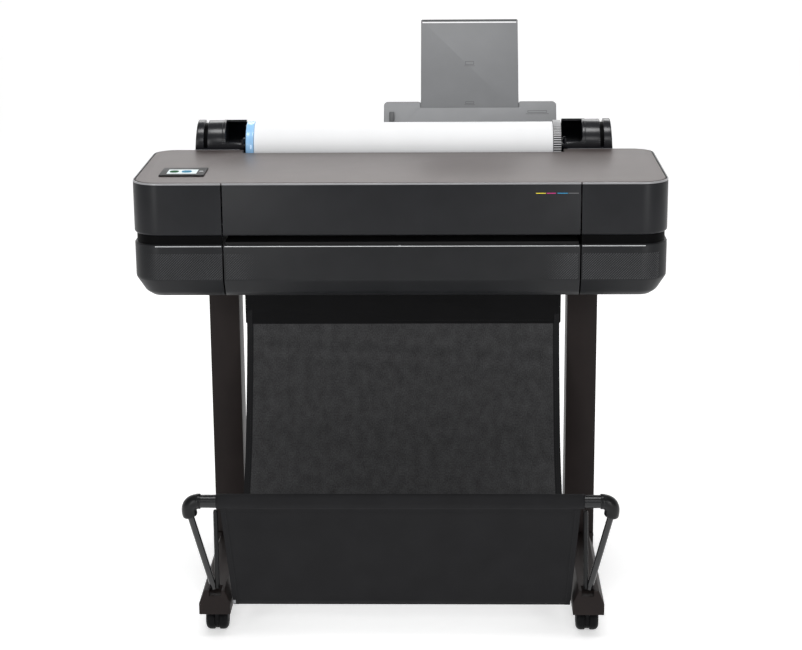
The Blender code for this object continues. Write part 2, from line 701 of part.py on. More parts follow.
def make_power_inlet():
    """A shallow socket frame on the rear face."""
    width, depth, height = INLET_SIZE
    y = CASE_DEPTH + CLEARANCE
    low = Vector((INLET_X - width / 2, y, INLET_Z - height / 2))
    high = Vector((INLET_X + width / 2, y + depth, INLET_Z + height / 2))
    inlet = box("power_inlet", low, high, black_plastic())
    rim = Vector((2 * INLET_RIM, 0, INLET_RIM))
    socket_low = low + rim + Vector((0, depth / 3, 0))
    cut(inlet, box("inlet_socket", socket_low, high - rim + Vector((0, depth, 0)), black_plastic()))


def make_carriage():
    """The carriage hangs on the front of the rail, and an arm over the rail holds the belt."""
    half = CARRIAGE_WIDTH / 2
    park = (CARRIAGE_PARK_X, CARRIAGE_Y[1], RAIL_Z[1])
    carriage = box("carriage", (CARRIAGE_PARK_X - half, CARRIAGE_Y[0], CARRIAGE_Z[0]),
                   (CARRIAGE_PARK_X + half, CARRIAGE_Y[1], CARRIAGE_Z[1]), charcoal(), park)
    belt_front = pulley_y() - PULLEY_R - CLEARANCE - BELT_THICKNESS
    arm = box("carriage_arm", (CARRIAGE_PARK_X - 0.015, CARRIAGE_Y[1] - 0.01, RAIL_Z[1] + 0.002),
              (CARRIAGE_PARK_X + 0.010, belt_front - CLEARANCE, BELT_Z + BELT_HEIGHT), charcoal())
    weld(carriage, arm)


def pulley_y():
    return RAIL_Y[1] + 0.015


def pulley_low_z():
    return BELT_Z - PULLEY_RIM


def make_idler_bracket():
    """A tab on the rail's left end, under the idler pulley."""
    top = pulley_low_z() - CLEARANCE
    return box("idler_bracket", (-PULLEY_X - 0.012, RAIL_Y[1] - 0.003, top - 0.012),
               (-PULLEY_X + 0.012, pulley_y() + 0.012, top), plain_steel())


def make_belt_drive():
    y = pulley_y()
    inner = PULLEY_R + CLEARANCE
    outer = inner + BELT_THICKNESS

    def loop(radius):
        right = arc((PULLEY_X, y), radius, -90, 90, 8)
        left = arc((-PULLEY_X, y), radius, 90, 270, 8)
        return right + left

    rubber = tyre_rubber()
    belt = prism("drive_belt", loop(outer), "Z", BELT_Z, BELT_Z + BELT_HEIGHT, rubber)
    cut(belt, prism("belt_inside", loop(inner), "Z", BELT_Z - 0.01, BELT_Z + BELT_HEIGHT + 0.01, rubber))
    low, high = pulley_low_z(), BELT_Z + BELT_HEIGHT + PULLEY_RIM
    for name, x in (("motor_pulley", PULLEY_X), ("idler_pulley", -PULLEY_X)):
        spot = (x, y, low)
        turned(name, [(low, PULLEY_R), (high, PULLEY_R)], "Z", spot, plain_steel(), 16, spot)
    top = low - CLEARANCE
    turned("carriage_motor", [(top - MOTOR_HEIGHT, MOTOR_R), (top, MOTOR_R)], "Z", (PULLEY_X, y, 0),
           plain_steel(), 18)


def make_ink():
    """Four cartridges side by side in a bay that is open to the front and above."""
    pitch = CARTRIDGE_WIDTH + INK_BAY_WALL + 2 * CLEARANCE
    count = len(INK_COLOURS)
    back_y = CARTRIDGE_FRONT_Y + CARTRIDGE_LENGTH + CLEARANCE
    end_x = INK_BAY_X + count * pitch + INK_BAY_WALL
    floor_z = INK_BAY_FLOOR_Z
    top_z = floor_z + 0.6 * CARTRIDGE_HEIGHT
    bay = box("ink_bay", (INK_BAY_X, CARTRIDGE_FRONT_Y + 0.01, floor_z - INK_BAY_WALL),
              (end_x, back_y + INK_BAY_WALL, top_z), charcoal())
    colours = {"yellow": (0.80, 0.62, 0.02), "magenta": (0.62, 0.02, 0.25), "cyan": (0.01, 0.32, 0.62),
               "black": (0.02, 0.02, 0.02)}
    for i, colour in enumerate(INK_COLOURS):
        x = INK_BAY_X + INK_BAY_WALL + CLEARANCE + i * pitch
        bottom = floor_z + CLEARANCE
        cut(bay, box("ink_slot_" + colour, (x - CLEARANCE, CARTRIDGE_FRONT_Y - 0.01, floor_z),
                     (x + CARTRIDGE_WIDTH + CLEARANCE, back_y, top_z + 0.01), charcoal()))
        surface = material("ink_" + colour, colours[colour], 0.40)
        far_y, top = CARTRIDGE_FRONT_Y + CARTRIDGE_LENGTH, bottom + CARTRIDGE_HEIGHT
        box("ink_cartridge_" + colour, (x, CARTRIDGE_FRONT_Y, bottom), (x + CARTRIDGE_WIDTH, far_y, top),
            surface, (x + CARTRIDGE_WIDTH / 2, CARTRIDGE_FRONT_Y, bottom))


# ---------------------------------------------------------------- stand
def foot_section(middle, shrink=0.0):
    """The foot's section in X and Z: straight sides, then a chamfer up to a narrower top."""
    half, top_half = LEG_WIDTH / 2 - shrink, FOOT_TOP_WIDTH / 2 - 0.6 * shrink
    low, side, top = FOOT_BOTTOM_Z + shrink, FOOT_BOTTOM_Z + FOOT_SIDE_HEIGHT, FOOT_TOP_Z - shrink
    return [(middle - half, low), (middle + half, low), (middle + half, side), (middle + top_half, top),
            (middle - top_half, top), (middle - half, side)]


def make_stand_side(name, side):
    middle = side * STAND_HALF_SPAN
    surface = brown_steel()
    foot = prism("foot_" + name, foot_section(middle), "Y", FOOT_FRONT_Y, FOOT_REAR_Y, surface)
    leg_rear_y = LEG_FRONT_Y + LEG_DEPTH
    half = LEG_WIDTH / 2
    margin = 0.003
    shoulder_z = FOOT_BOTTOM_Z + FOOT_SIDE_HEIGHT
    socket = box("foot_socket_" + name, (middle - half, LEG_FRONT_Y - margin, shoulder_z),
                 (middle + half, leg_rear_y + margin, FOOT_TOP_Z), surface)
    weld(foot, socket)
    hollow = prism("foot_hollow_" + name, foot_section(middle, FOOT_WALL), "Y", FOOT_FRONT_Y + 0.040,
                   FOOT_REAR_Y + 0.01, surface)
    cut(foot, hollow)
    for end, y in (("front", CASTER_FRONT_Y), ("rear", CASTER_REAR_Y)):
        hole = [(FOOT_BOTTOM_Z - 0.01, STEM_R + 0.0005), (FOOT_BOTTOM_Z + 0.028, STEM_R + 0.0005)]
        cut(foot, turned("stem_hole_" + end + "_" + name, hole, "Z", (middle, y, 0), surface, 16))
    slot_middle = (ARM_FOOT_X + STRUT_FOOT_X) / 2
    slot_half = ARM_SLOT_WIDTH / 2
    slot_x = sorted((side * (slot_middle + slot_half), side * (slot_middle - slot_half)))
    cut(foot, box("arm_slot_" + name, (slot_x[0], FOOT_FRONT_Y - 0.01, BIN_PIVOT_Z - 0.012),
                  (slot_x[1], BIN_PIVOT_Y + 0.016, FOOT_TOP_Z + 0.01), surface))

    low_z = FOOT_TOP_Z + CLEARANCE
    high_z = CASE_BOTTOM_Z - CLEARANCE
    leg = box("leg_" + name, (middle - half, LEG_FRONT_Y, low_z), (middle + half, leg_rear_y, high_z),
              surface)
    cut(leg, box("leg_hollow_" + name, (middle - half + LEG_WALL, LEG_FRONT_Y + LEG_WALL, low_z - 0.01),
                 (middle + half - LEG_WALL, leg_rear_y - LEG_WALL, high_z - LEG_CAP_HEIGHT), surface))


def make_stand():
    make_stand_side("left", -1)
    make_stand_side("right", 1)
    reach = STAND_HALF_SPAN - LEG_WIDTH / 2 - CLEARANCE
    front_y = LEG_FRONT_Y + 0.025
    low, high = CROSS_RAIL_Z
    rear_y = front_y + CROSS_RAIL_DEPTH
    rail = box("cross_rail", (-reach, front_y, low), (reach, rear_y, high), brown_steel())
    cut(rail, box("cross_rail_hollow", (-reach - 0.01, front_y + LEG_WALL, low + LEG_WALL),
                  (reach + 0.01, rear_y - LEG_WALL, high - LEG_WALL), brown_steel()))


def make_caster(name, x, y):
    """A swivelling fin between two wheels on one axle, with the axle behind the stem."""
    swivel = (x, y, FOOT_BOTTOM_Z)
    flat_r = WHEEL_R * math.cos(math.pi / WHEEL_SIDES)
    axle = (x, y + CASTER_TRAIL, flat_r)
    outer, inner = CASTER_WIDTH / 2, CASTER_FIN / 2 + 2 * CLEARANCE
    round_edge = 0.004
    profile = [(outer, 0.6 * WHEEL_R), (outer, WHEEL_R - round_edge), (outer - round_edge, WHEEL_R),
               (inner, WHEEL_R), (inner, 0.004)]
    whole = [(x - d, r) for d, r in profile] + [(x + d, r) for d, r in reversed(profile)]
    turned("caster_wheels_" + name, whole, "X", axle, tyre_rubber(), WHEEL_SIDES, axle,
           phase=math.pi / WHEEL_SIDES)

    top = FOOT_BOTTOM_Z - 2 * CLEARANCE
    plate_low = top - 0.0018
    hood = box("caster_swivel_" + name, (x - CASTER_FIN / 2, y - 0.009, axle[2] - 0.009),
               (x + CASTER_FIN / 2, y + CASTER_TRAIL + 0.012, plate_low + 0.0009), black_plastic(), swivel)
    plate = turned("caster_plate_" + name, [(plate_low, 0.016), (top, 0.016)], "Z", swivel,
                   black_plastic(), 18)
    stem = turned("caster_stem_" + name, [(plate_low, STEM_R), (FOOT_BOTTOM_Z + 0.018, STEM_R)], "Z", swivel,
                  black_plastic(), 16)
    weld(hood, plate, stem)
    bore = [(x - CASTER_FIN, 0.0045), (x + CASTER_FIN, 0.0045)]
    cut(hood, turned("caster_bore_" + name, bore, "X", axle, black_plastic(), 14))


def make_casters():
    for side_name, side in (("left", -1), ("right", 1)):
        for end_name, y in (("front", CASTER_FRONT_Y), ("rear", CASTER_REAR_Y)):
            make_caster(end_name + "_" + side_name, side * STAND_HALF_SPAN, y)


# ---------------------------------------------------------------- catch bin
def make_bin_frame():
    """The bar, its two elbows and the arms down to the feet turn together about the feet."""
    pivot = (0, BIN_PIVOT_Y, BIN_PIVOT_Z)
    axis = (0, BAR_Y, BAR_Z)
    reach = BAR_HALF_LENGTH - CLEARANCE
    turned("bin_bar", [(-reach, BAR_R), (reach, BAR_R)], "X", axis, black_tube(), 20, pivot)
    for name, side in (("left", -1), ("right", 1)):
        corner = Vector((side * ELBOW_CORNER_X, BAR_Y, BAR_Z))
        foot = Vector((side * ARM_FOOT_X, BIN_PIVOT_Y, BIN_PIVOT_Z))
        down = (foot - corner).normalized()
        elbow_end = corner + down * ELBOW_REACH
        arm = rod("bin_arm_" + name, elbow_end - down * 0.004, foot, ARM_R, black_tube(), 14, pivot)
        elbow = make_elbow("bin_elbow_" + name, side, corner, elbow_end)
        strut_top = Vector((side * STRUT_TOP_X, BAR_Y + 0.006, BAR_Z - BAR_R - 0.008))
        strut_foot = Vector((side * STRUT_FOOT_X, BIN_PIVOT_Y, BIN_PIVOT_Z + 0.001))
        weld(arm, elbow, rod("bin_strut_" + name, strut_top, strut_foot, STRUT_R, black_tube(), 12))


def make_elbow(name, side, corner, end):
    """A short bent tube: straight off the bar, round the corner and down the arm."""
    start = Vector((side * BAR_HALF_LENGTH, BAR_Y, BAR_Z))
    steps = 8
    bm = bmesh.new()
    rings = []
    sides = 16
    across = (corner - start).cross(end - corner).normalized()
    for i in range(steps + 1):
        t = i / steps
        spot = start.lerp(corner, t).lerp(corner.lerp(end, t), t)
        ahead = (corner - start).lerp(end - corner, t).normalized()
        beside = across.cross(ahead).normalized()
        ring = []
        for k in range(sides):
            angle = math.tau * k / sides
            ring.append(bm.verts.new(spot + ELBOW_R * (math.cos(angle) * across + math.sin(angle) * beside)))
        rings.append(ring)
    for ring, other in zip(rings, rings[1:]):
        bridge(bm, ring, other)
    bm.faces.new(rings[0])
    bm.faces.new(rings[-1])
    return finish_mesh(name, bm, black_tube())


def make_front_cloth():
    """The sleeve round the bar and the panel that hangs from it."""
    pivot = (0, BIN_PIVOT_Y, BIN_PIVOT_Z)
    inner = BAR_R + CLEARANCE
    outer = inner + CLOTH
    half = SLEEVE_HALF_LENGTH
    ring = [(-half, inner), (half, inner), (half, outer), (-half, outer)]
    cloth = turned("bin_front_cloth", ring, "X", (0, BAR_Y, BAR_Z), bin_cloth(), 20, pivot, hollow=True)
    top = (BAR_Y, BAR_Z - inner - 0.4 * CLOTH)
    bm = bmesh.new()
    rings = []
    for shift in (-CLOTH / 2, CLOTH / 2):
        corners = ((-FRONT_CLOTH_TOP_HALF, top), (FRONT_CLOTH_TOP_HALF, top),
                   (FRONT_CLOTH_BOTTOM_HALF, FRONT_CLOTH_BOTTOM), (-FRONT_CLOTH_BOTTOM_HALF, FRONT_CLOTH_BOTTOM))
        rings.append([bm.verts.new((x, y + shift, z)) for x, (y, z) in corners])
    bm.faces.new(rings[0])
    bm.faces.new(rings[1])
    bridge(bm, rings[0], rings[1])
    weld(cloth, finish_mesh("front_cloth_panel", bm, bin_cloth()))


def make_back_cloth():
    """One thin sheet from under the printer, sloping forward to the bottom of the bin."""
    line = [Vector(point) for point in BACK_CLOTH_LINE]
    line[0].y = CASE_BOTTOM_Z - CLEARANCE
    bm = bmesh.new()
    rings = []
    for i, spot in enumerate(line):
        before = (spot - line[i - 1]).normalized() if i else (line[1] - spot).normalized()
        after = (line[i + 1] - spot).normalized() if i + 1 < len(line) else before
        along = (before + after).normalized()
        side = Vector((-along.y, along.x)) * CLOTH / 2
        corners = ((-1, side), (1, side), (1, -side), (-1, -side))
        rings.append([bm.verts.new((x * BACK_CLOTH_HALF, *(spot + shift))) for x, shift in corners])
    for ring, other in zip(rings, rings[1:]):
        bridge(bm, ring, other)
    bm.faces.new(rings[0])
    bm.faces.new(rings[-1])
    finish_mesh("bin_back_cloth", bm, bin_cloth())


# ---------------------------------------------------------------- the whole machine
def centre_over_floor():
    """Slides every top-level object so that the bounding box is centred on the origin in Y."""
    graph = bpy.context.evaluated_depsgraph_get()
    depths = []
    for piece in bpy.context.scene.objects:
        if piece.type == "MESH" and not piece.hide_render:
            mesh = piece.evaluated_get(graph).to_mesh()
            depths += [(piece.matrix_world @ vertex.co).y for vertex in mesh.vertices]
            piece.evaluated_get(graph).to_mesh_clear()
    middle = (min(depths) + max(depths)) / 2
    for piece in bpy.context.scene.objects:
        if piece.parent is None:
            piece.location.y -= middle
    print("the printer's front face is at y =", round(-middle, 5))


def build():
    for old in list(bpy.data.objects):
        bpy.data.objects.remove(old)
    make_casing()
    make_control_panel()
    make_roll()
    make_roll_holder("roll_holder_left", -1)
    make_roll_holder("roll_holder_right", 1)
    make_sheet_tray()
    make_print_engine()
    make_ink()
    make_stand()
    make_casters()
    make_bin_frame()
    make_front_cloth()
    make_back_cloth()
    bpy.context.view_layer.update()
    centre_over_floor()


build()
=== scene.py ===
# %% [markdown]
# # A large format plotter on its stand
# The solids of the machine are already made. This lesson loads them, keeps every place and size, and
# gives the machine its real surfaces: rounded mouldings, a ribbed hub, sewn cloth and painted steel.
# All lengths are metres, +Z is up and the machine faces -Y.

# %% Load the frame
import json
import math

import bmesh
import bpy
from mathutils import Matrix, Vector


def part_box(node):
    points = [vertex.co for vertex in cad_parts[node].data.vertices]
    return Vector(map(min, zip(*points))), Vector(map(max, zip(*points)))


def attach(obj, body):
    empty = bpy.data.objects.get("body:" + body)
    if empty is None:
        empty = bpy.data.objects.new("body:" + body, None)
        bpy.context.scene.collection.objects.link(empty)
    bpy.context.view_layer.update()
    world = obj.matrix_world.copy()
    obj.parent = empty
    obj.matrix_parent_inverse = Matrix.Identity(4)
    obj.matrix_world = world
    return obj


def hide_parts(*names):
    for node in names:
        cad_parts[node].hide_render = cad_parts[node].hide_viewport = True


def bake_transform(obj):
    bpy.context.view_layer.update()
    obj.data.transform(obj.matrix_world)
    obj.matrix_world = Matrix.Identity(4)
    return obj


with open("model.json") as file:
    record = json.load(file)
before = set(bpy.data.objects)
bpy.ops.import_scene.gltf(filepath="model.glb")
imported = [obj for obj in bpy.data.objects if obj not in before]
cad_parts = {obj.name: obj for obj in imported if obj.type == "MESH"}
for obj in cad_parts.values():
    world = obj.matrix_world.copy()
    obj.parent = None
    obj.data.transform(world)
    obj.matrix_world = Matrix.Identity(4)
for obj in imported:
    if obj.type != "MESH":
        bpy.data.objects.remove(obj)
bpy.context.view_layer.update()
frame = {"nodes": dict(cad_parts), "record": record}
JOINTS = {joint["name"]: joint for joint in frame["record"]["behaviour"]["joints"]}


# %% Where things are
def low(node):
    return Vector(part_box(node)[0])


def high(node):
    return Vector(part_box(node)[1])


def middle(node):
    return (low(node) + high(node)) / 2


FRONT_Y = low("lower_front_cover").y
HALF_WIDTH = high("top_trim").x
print(f"the casing is {2 * HALF_WIDTH:.3f} m wide and its front face is at y = {FRONT_Y:.4f}")

# %% [markdown]
# ## The camera
# A catalogue view is taken from a few metres away with a long lens, a little above the machine and
# a little to its right. The three angles below turn the camera down, to the side and upright.

# %% Place the camera
LENS_MM = 90.42
LOOK_DOWN = math.radians(14.774)
LOOK_LEFT = math.radians(-1.419)
CAMERA_ROLL = math.radians(-0.44)
CAMERA_PLACE = Vector((0.0931, FRONT_Y - 3.6983, 1.5776))


def place_camera():
    ahead = Vector((math.sin(LOOK_LEFT) * math.cos(LOOK_DOWN), math.cos(LOOK_LEFT) * math.cos(LOOK_DOWN),
                    -math.sin(LOOK_DOWN)))
    level = Vector((math.cos(LOOK_LEFT), -math.sin(LOOK_LEFT), 0))
    upright = level.cross(ahead)
    right = math.cos(CAMERA_ROLL) * level + math.sin(CAMERA_ROLL) * upright
    up = math.cos(CAMERA_ROLL) * upright - math.sin(CAMERA_ROLL) * level
    data = bpy.data.cameras.new("camera")
    data.lens = LENS_MM
    data.sensor_width = 36
    camera = bpy.data.objects.new("camera", data)
    camera.matrix_world = Matrix.Translation(CAMERA_PLACE) @ Matrix((right, up, -ahead)).transposed().to_4x4()
    bpy.context.collection.objects.link(camera)
    bpy.context.scene.camera = camera
    return camera


print("camera at", [round(v, 3) for v in place_camera().location])

# %% [markdown]
# ## Light and floor
# Glossy black plastic shows its shape only by what it reflects. So the lights are large white panels:
# one above, one on each side and a weak one in front. The floor curves up behind the machine, which
# leaves no horizon line.


# %% Soft panels
def soft_panel(name, place, aim, size, watts):
    data = bpy.data.lights.new(name, "AREA")
    data.shape = "RECTANGLE"
    data.size, data.size_y = size
    data.energy = watts
    panel = bpy.data.objects.new(name, data)
    panel.location = place
    panel.rotation_euler = (Vector(aim) - Vector(place)).to_track_quat("-Z", "Y").to_euler()
    bpy.context.collection.objects.link(panel)


soft_panel("panel_above", (0, -0.7, 3.0), (0, 0, 0.8), (2.0, 0.7), 34)
soft_panel("panel_left", (-1.75, -2.9, 1.1), (-0.2, -0.2, 0.7), (0.30, 1.9), 20)
soft_panel("panel_right", (1.95, -2.9, 1.1), (0.2, -0.2, 0.7), (0.30, 1.9), 20)
soft_panel("panel_front", (0.3, -4.4, 2.6), (0, 0, 0.6), (2.4, 1.0), 18)
soft_panel("panel_behind", (0, 2.2, 2.4), (0, 0.6, 0.8), (2.6, 1.0), 22)

world = bpy.data.worlds.new("studio")
world.use_nodes = True
world.node_tree.nodes["Background"].inputs["Color"].default_value = (1, 1, 1, 1)
world.node_tree.nodes["Background"].inputs["Strength"].default_value = 0.30
bpy.context.scene.world = world
bpy.context.scene.view_settings.view_transform = "Standard"
print("five soft panels and a white world")


# %% [markdown]
# ## Materials
# Every finish here is made from the same few ingredients: a cloudy noise that shifts the colour a
# little, a fine noise that breaks up the gloss, and a bump made of the same fine noise. What differs
# is their size and strength. They read Object coordinates, so a grain of 0.4 mm is 0.4 mm everywhere.

# %% A finish from a few numbers
def finish(name, colour, roughness, metallic=0.0, grain=0.0006, relief=0.06, cloud=0.05, tint=0.10,
           gloss_spread=0.06, stretch=(1, 1, 1), uv=False, coat=0.0, sheen=0.0, glow=0.0, shine=0.4,
           speckle=0.0):
    """grain and cloud are sizes in metres; relief, tint, gloss_spread and speckle are strengths."""
    made = bpy.data.materials.new(name)
    made.use_nodes = True
    tree = made.node_tree
    link = tree.links.new
    shader = tree.nodes["Principled BSDF"]
    shader.inputs["Metallic"].default_value = metallic
    shader.inputs["Coat Weight"].default_value = coat
    shader.inputs["Sheen Weight"].default_value = sheen
    shader.inputs["Specular IOR Level"].default_value = shine
    if glow:
        shader.inputs["Emission Color"].default_value = (*colour, 1)
        shader.inputs["Emission Strength"].default_value = glow
    source = tree.nodes.new("ShaderNodeTexCoord").outputs["UV" if uv else "Object"]
    mapping = tree.nodes.new("ShaderNodeMapping")
    mapping.inputs["Scale"].default_value = stretch
    link(source, mapping.inputs["Vector"])

    def noise(size, detail):
        node = tree.nodes.new("ShaderNodeTexNoise")
        node.inputs["Scale"].default_value = 1 / size
        node.inputs["Detail"].default_value = detail
        link(mapping.outputs["Vector"], node.inputs["Vector"])
        return node.outputs["Fac"]

    cloudy, fine = noise(cloud, 3), noise(grain, 2)
    mix = tree.nodes.new("ShaderNodeMix")
    mix.data_type = "RGBA"
    mix.inputs["A"].default_value = (*[c * (1 - tint) for c in colour], 1)
    mix.inputs["B"].default_value = (*[min(1, c * (1 + tint)) for c in colour], 1)
    share = tree.nodes.new("ShaderNodeMix")
    share.inputs["Factor"].default_value = speckle
    link(cloudy, share.inputs["A"])
    link(fine, share.inputs["B"])
    spread = tree.nodes.new("ShaderNodeMapRange")
    spread.inputs["From Min"].default_value = 0.3
    spread.inputs["From Max"].default_value = 0.7
    link(share.outputs["Result"], spread.inputs["Value"])
    link(spread.outputs["Result"], mix.inputs["Factor"])
    link(mix.outputs["Result"], shader.inputs["Base Color"])
    gloss = tree.nodes.new("ShaderNodeMapRange")
    gloss.inputs["To Min"].default_value = max(0.02, roughness - gloss_spread)
    gloss.inputs["To Max"].default_value = min(1, roughness + gloss_spread)
    link(fine, gloss.inputs["Value"])
    link(gloss.outputs["Result"], shader.inputs["Roughness"])
    bump = tree.nodes.new("ShaderNodeBump")
    bump.inputs["Strength"].default_value = relief
    bump.inputs["Distance"].default_value = grain * 0.5
    link(fine, bump.inputs["Height"])
    link(bump.outputs["Normal"], shader.inputs["Normal"])
    return made


# %% The machine's finishes
CHARCOAL = finish("charcoal_moulding", (0.0128, 0.0133, 0.0150), 0.36, grain=0.0005, relief=0.12, shine=0.18)
LOWER_CHARCOAL = finish("lower_moulding", (0.0125, 0.0130, 0.0143), 0.40, grain=0.0005, relief=0.12,
                        shine=0.18)
# Lighter than the band so the pyramids read: painted highlight on their raised faces.
WEAVE_PAINTED_HIGHLIGHT = finish("raised_weave_with_painted_highlight", (0.040, 0.041, 0.044), 0.34, grain=0.0005, relief=0.05, shine=0.35)
# Pale grey: painted highlight for the light along the top edge of the lower band.
LIP_HIGHLIGHT = finish("painted_lip_highlight", (0.62, 0.63, 0.64), 0.22, 0.4, tint=0.04)
DARK_GLOSS = finish("black_gloss_moulding", (0.0055, 0.0062, 0.0085), 0.24, relief=0.03, shine=0.55)
PANEL_BLACK = finish("panel_black", (0.0060, 0.0062, 0.0068), 0.45, shine=0.12)
INNER_BLACK = finish("inner_black_moulding", (0.0045, 0.0045, 0.0050), 0.60, shine=0.2)
# Near black, darker than any moulding: painted shade for deep gaps and grooves.
GAP_PAINTED_SHADE = finish("gap_painted_shade", (0.0012, 0.0012, 0.0014), 0.55, shine=0.05, relief=0.02)
TAUPE = finish("taupe_pearl_cover", (0.090, 0.0735, 0.070), 0.42, 0.12, grain=0.0004, relief=0.05, tint=0.05,
               shine=0.25)
TRIM = finish("light_trim", (0.30, 0.30, 0.31), 0.30, 0.3, tint=0.04)
PAPER = finish("roll_paper", (0.90, 0.905, 0.915), 0.80, grain=0.0003, relief=0.05, tint=0.01)
HUB_BLUE = finish("blue_hub", (0.33, 0.61, 0.95), 0.22, tint=0.08, coat=0.4)
# Near black, so the gaps between the ribs of the grey knob read as painted shade.
KNOB_BODY_PAINTED_SHADE = finish("knob_body", (0.0030, 0.0030, 0.0034), 0.50, shine=0.08)
HUB_RIBS = finish("knob_ribs", (0.56, 0.56, 0.57), 0.34)
TRAY = finish("tray_moulding", (0.222, 0.226, 0.233), 0.48, grain=0.0005, relief=0.08, tint=0.04)
EXTENSION = finish("extension_moulding", (0.166, 0.170, 0.176), 0.44, grain=0.0005, relief=0.08, tint=0.04)
# Dark grey for the page marks and the sheet guide, and painted shade in a strip under the extension's top
# edge.
TRAY_DARK = finish("tray_dark_parts_and_painted_shade", (0.045, 0.047, 0.050), 0.40)
# Pale: painted highlight for a strip on the bend of the extension's top edge.
TRAY_PAINTED_HIGHLIGHT = finish("tray_painted_highlight", (0.80, 0.80, 0.81), 0.35, tint=0.02)
STAND = finish("brown_powder_coat", (0.0140, 0.0100, 0.0094), 0.48, grain=0.0007, relief=0.20, shine=0.14)
TUBE = finish("black_tube_paint", (0.010, 0.0105, 0.0115), 0.26, 0.2, grain=0.0008, relief=0.06, shine=0.5)
ARM = finish("arm_tube_paint", (0.0050, 0.0053, 0.0062), 0.20, grain=0.0008, relief=0.03, shine=0.6)
ELBOW = finish("elbow_moulding", (0.0045, 0.0048, 0.0055), 0.30, grain=0.0006, relief=0.10, shine=0.25)
WHEEL = finish("wheel_nylon", (0.0032, 0.0034, 0.0040), 0.45, grain=0.0007, relief=0.08, shine=0.10)
SCREW = finish("screw_black", (0.020, 0.020, 0.021), 0.30, 0.6)
STEEL = finish("plated_steel", (0.56, 0.57, 0.58), 0.30, 1.0, stretch=(0.05, 1, 1), relief=0.10, tint=0.05)
RUBBER = finish("belt_rubber", (0.016, 0.016, 0.017), 0.75, relief=0.20)
SCREEN = finish("display_glass", (0.66, 0.73, 0.74), 0.5, tint=0.02, glow=0.10, shine=0.1)
SCREEN_GREEN = finish("display_green", (0.010, 0.085, 0.030), 0.7, shine=0.03)
SCREEN_BLUE = finish("display_blue", (0.045, 0.22, 0.36), 0.7, shine=0.03)
STATUS_BLUE = finish("status_light_blue", (0.03, 0.16, 0.48), 0.20, glow=0.35)
MARK = finish("pale_mark", (0.30, 0.31, 0.32), 0.40)
INKS = {
    "yellow": finish("ink_yellow", (0.80, 0.66, 0.03), 0.36),
    "magenta": finish("ink_magenta", (0.62, 0.03, 0.24), 0.36),
    "cyan": finish("ink_cyan", (0.02, 0.30, 0.56), 0.36),
    "black": finish("ink_black", (0.12, 0.12, 0.125), 0.36),
}
PLAIN_CLOTH = finish("plain_cloth", (0.0092, 0.0092, 0.0102), 0.80, grain=0.0010, relief=0.35, cloud=0.06,
                     tint=0.12, uv=True, shine=0.2)
FELT_CLOTH = finish("non_woven_cloth", (0.0400, 0.0400, 0.0415), 0.85, grain=0.0022, relief=0.6, cloud=0.018,
                    tint=0.55, uv=True, sheen=0.05, shine=0.25, stretch=(1, 0.7, 1), speckle=0.62)
BAND_CLOTH = finish("band_cloth", (0.0042, 0.0042, 0.0047), 0.75, grain=0.0010, relief=0.30, shine=0.12)
THREAD = finish("thread", (0.012, 0.012, 0.013), 0.7)
FLOOR = finish("studio_floor", (0.88, 0.88, 0.88), 0.8, relief=0.0, tint=0.0, cloud=0.5, grain=0.01,
               glow=0.52,
               shine=0.1)
print(len(bpy.data.materials), "materials")


# %% [markdown]
# ## Helpers for shapes
# Three helpers make nearly every moulding. One rounds the corners of a flat outline with true arcs,
# one gives a flat outline a thickness, and one sends an outline round an axis. A Bevel modifier then
# breaks the sharp edges, as a real mould does, and the result is kept as a plain mesh.

# %% Outlines with round corners
def rounded(corners, steps=6):
    """Corners are (x, y, radius). Each corner becomes an arc that meets both sides."""
    points = []
    for i, (x, y, radius) in enumerate(corners):
        here = Vector((x, y))
        if not radius:
            points.append(here)
            continue
        back = Vector(corners[i - 1][:2]) - here
        ahead = Vector(corners[(i + 1) % len(corners)][:2]) - here
        half = back.angle(ahead) / 2
        reach = min(radius / math.tan(half), 0.49 * back.length, 0.49 * ahead.length)
        centre = here + (back.normalized() + ahead.normalized()).normalized() * reach / math.cos(half)
        first = (here + back.normalized() * reach - centre).to_3d()
        last = (here + ahead.normalized() * reach - centre).to_3d()
        points += [centre + first.slerp(last, k / steps).to_2d().normalized() * first.length
                   for k in range(steps + 1)]
    return points


def arc(centre, radius, start_deg, end_deg, steps):
    angles = [math.radians(start_deg + (end_deg - start_deg) * i / steps) for i in range(steps + 1)]
    return [Vector((centre[0] + radius * math.cos(a), centre[1] + radius * math.sin(a))) for a in angles]


def rectangle(x_range, y_range, corner=0.0, steps=6):
    """A rectangle whose four corners have the same radius."""
    (x0, x1), (y0, y1) = x_range, y_range
    return rounded([(x0, y0, corner), (x1, y0, corner), (x1, y1, corner), (x0, y1, corner)], steps)


# %% From rings of points to a finished mesh
def bridge(bm, ring, other):
    for i in range(len(ring)):
        j = (i + 1) % len(ring)
        bm.faces.new((ring[i], ring[j], other[j], other[i]))


def skin(bm, rings, closed=False):
    """Joins rings of 3-D points with quads, and caps the two ends unless the rings form a loop."""
    rows = [[bm.verts.new(point) for point in ring] for ring in rings]
    for ring, other in zip(rows, rows[1:]):
        bridge(bm, ring, other)
    if closed:
        bridge(bm, rows[-1], rows[0])
    else:
        bm.faces.new(rows[0])
        bm.faces.new(rows[-1])


def plain(piece):
    """Keeps what the modifiers make as the piece's own mesh."""
    graph = bpy.context.evaluated_depsgraph_get()
    mesh = bpy.data.meshes.new_from_object(piece.evaluated_get(graph))
    piece.modifiers.clear()
    piece.data = mesh
    return piece


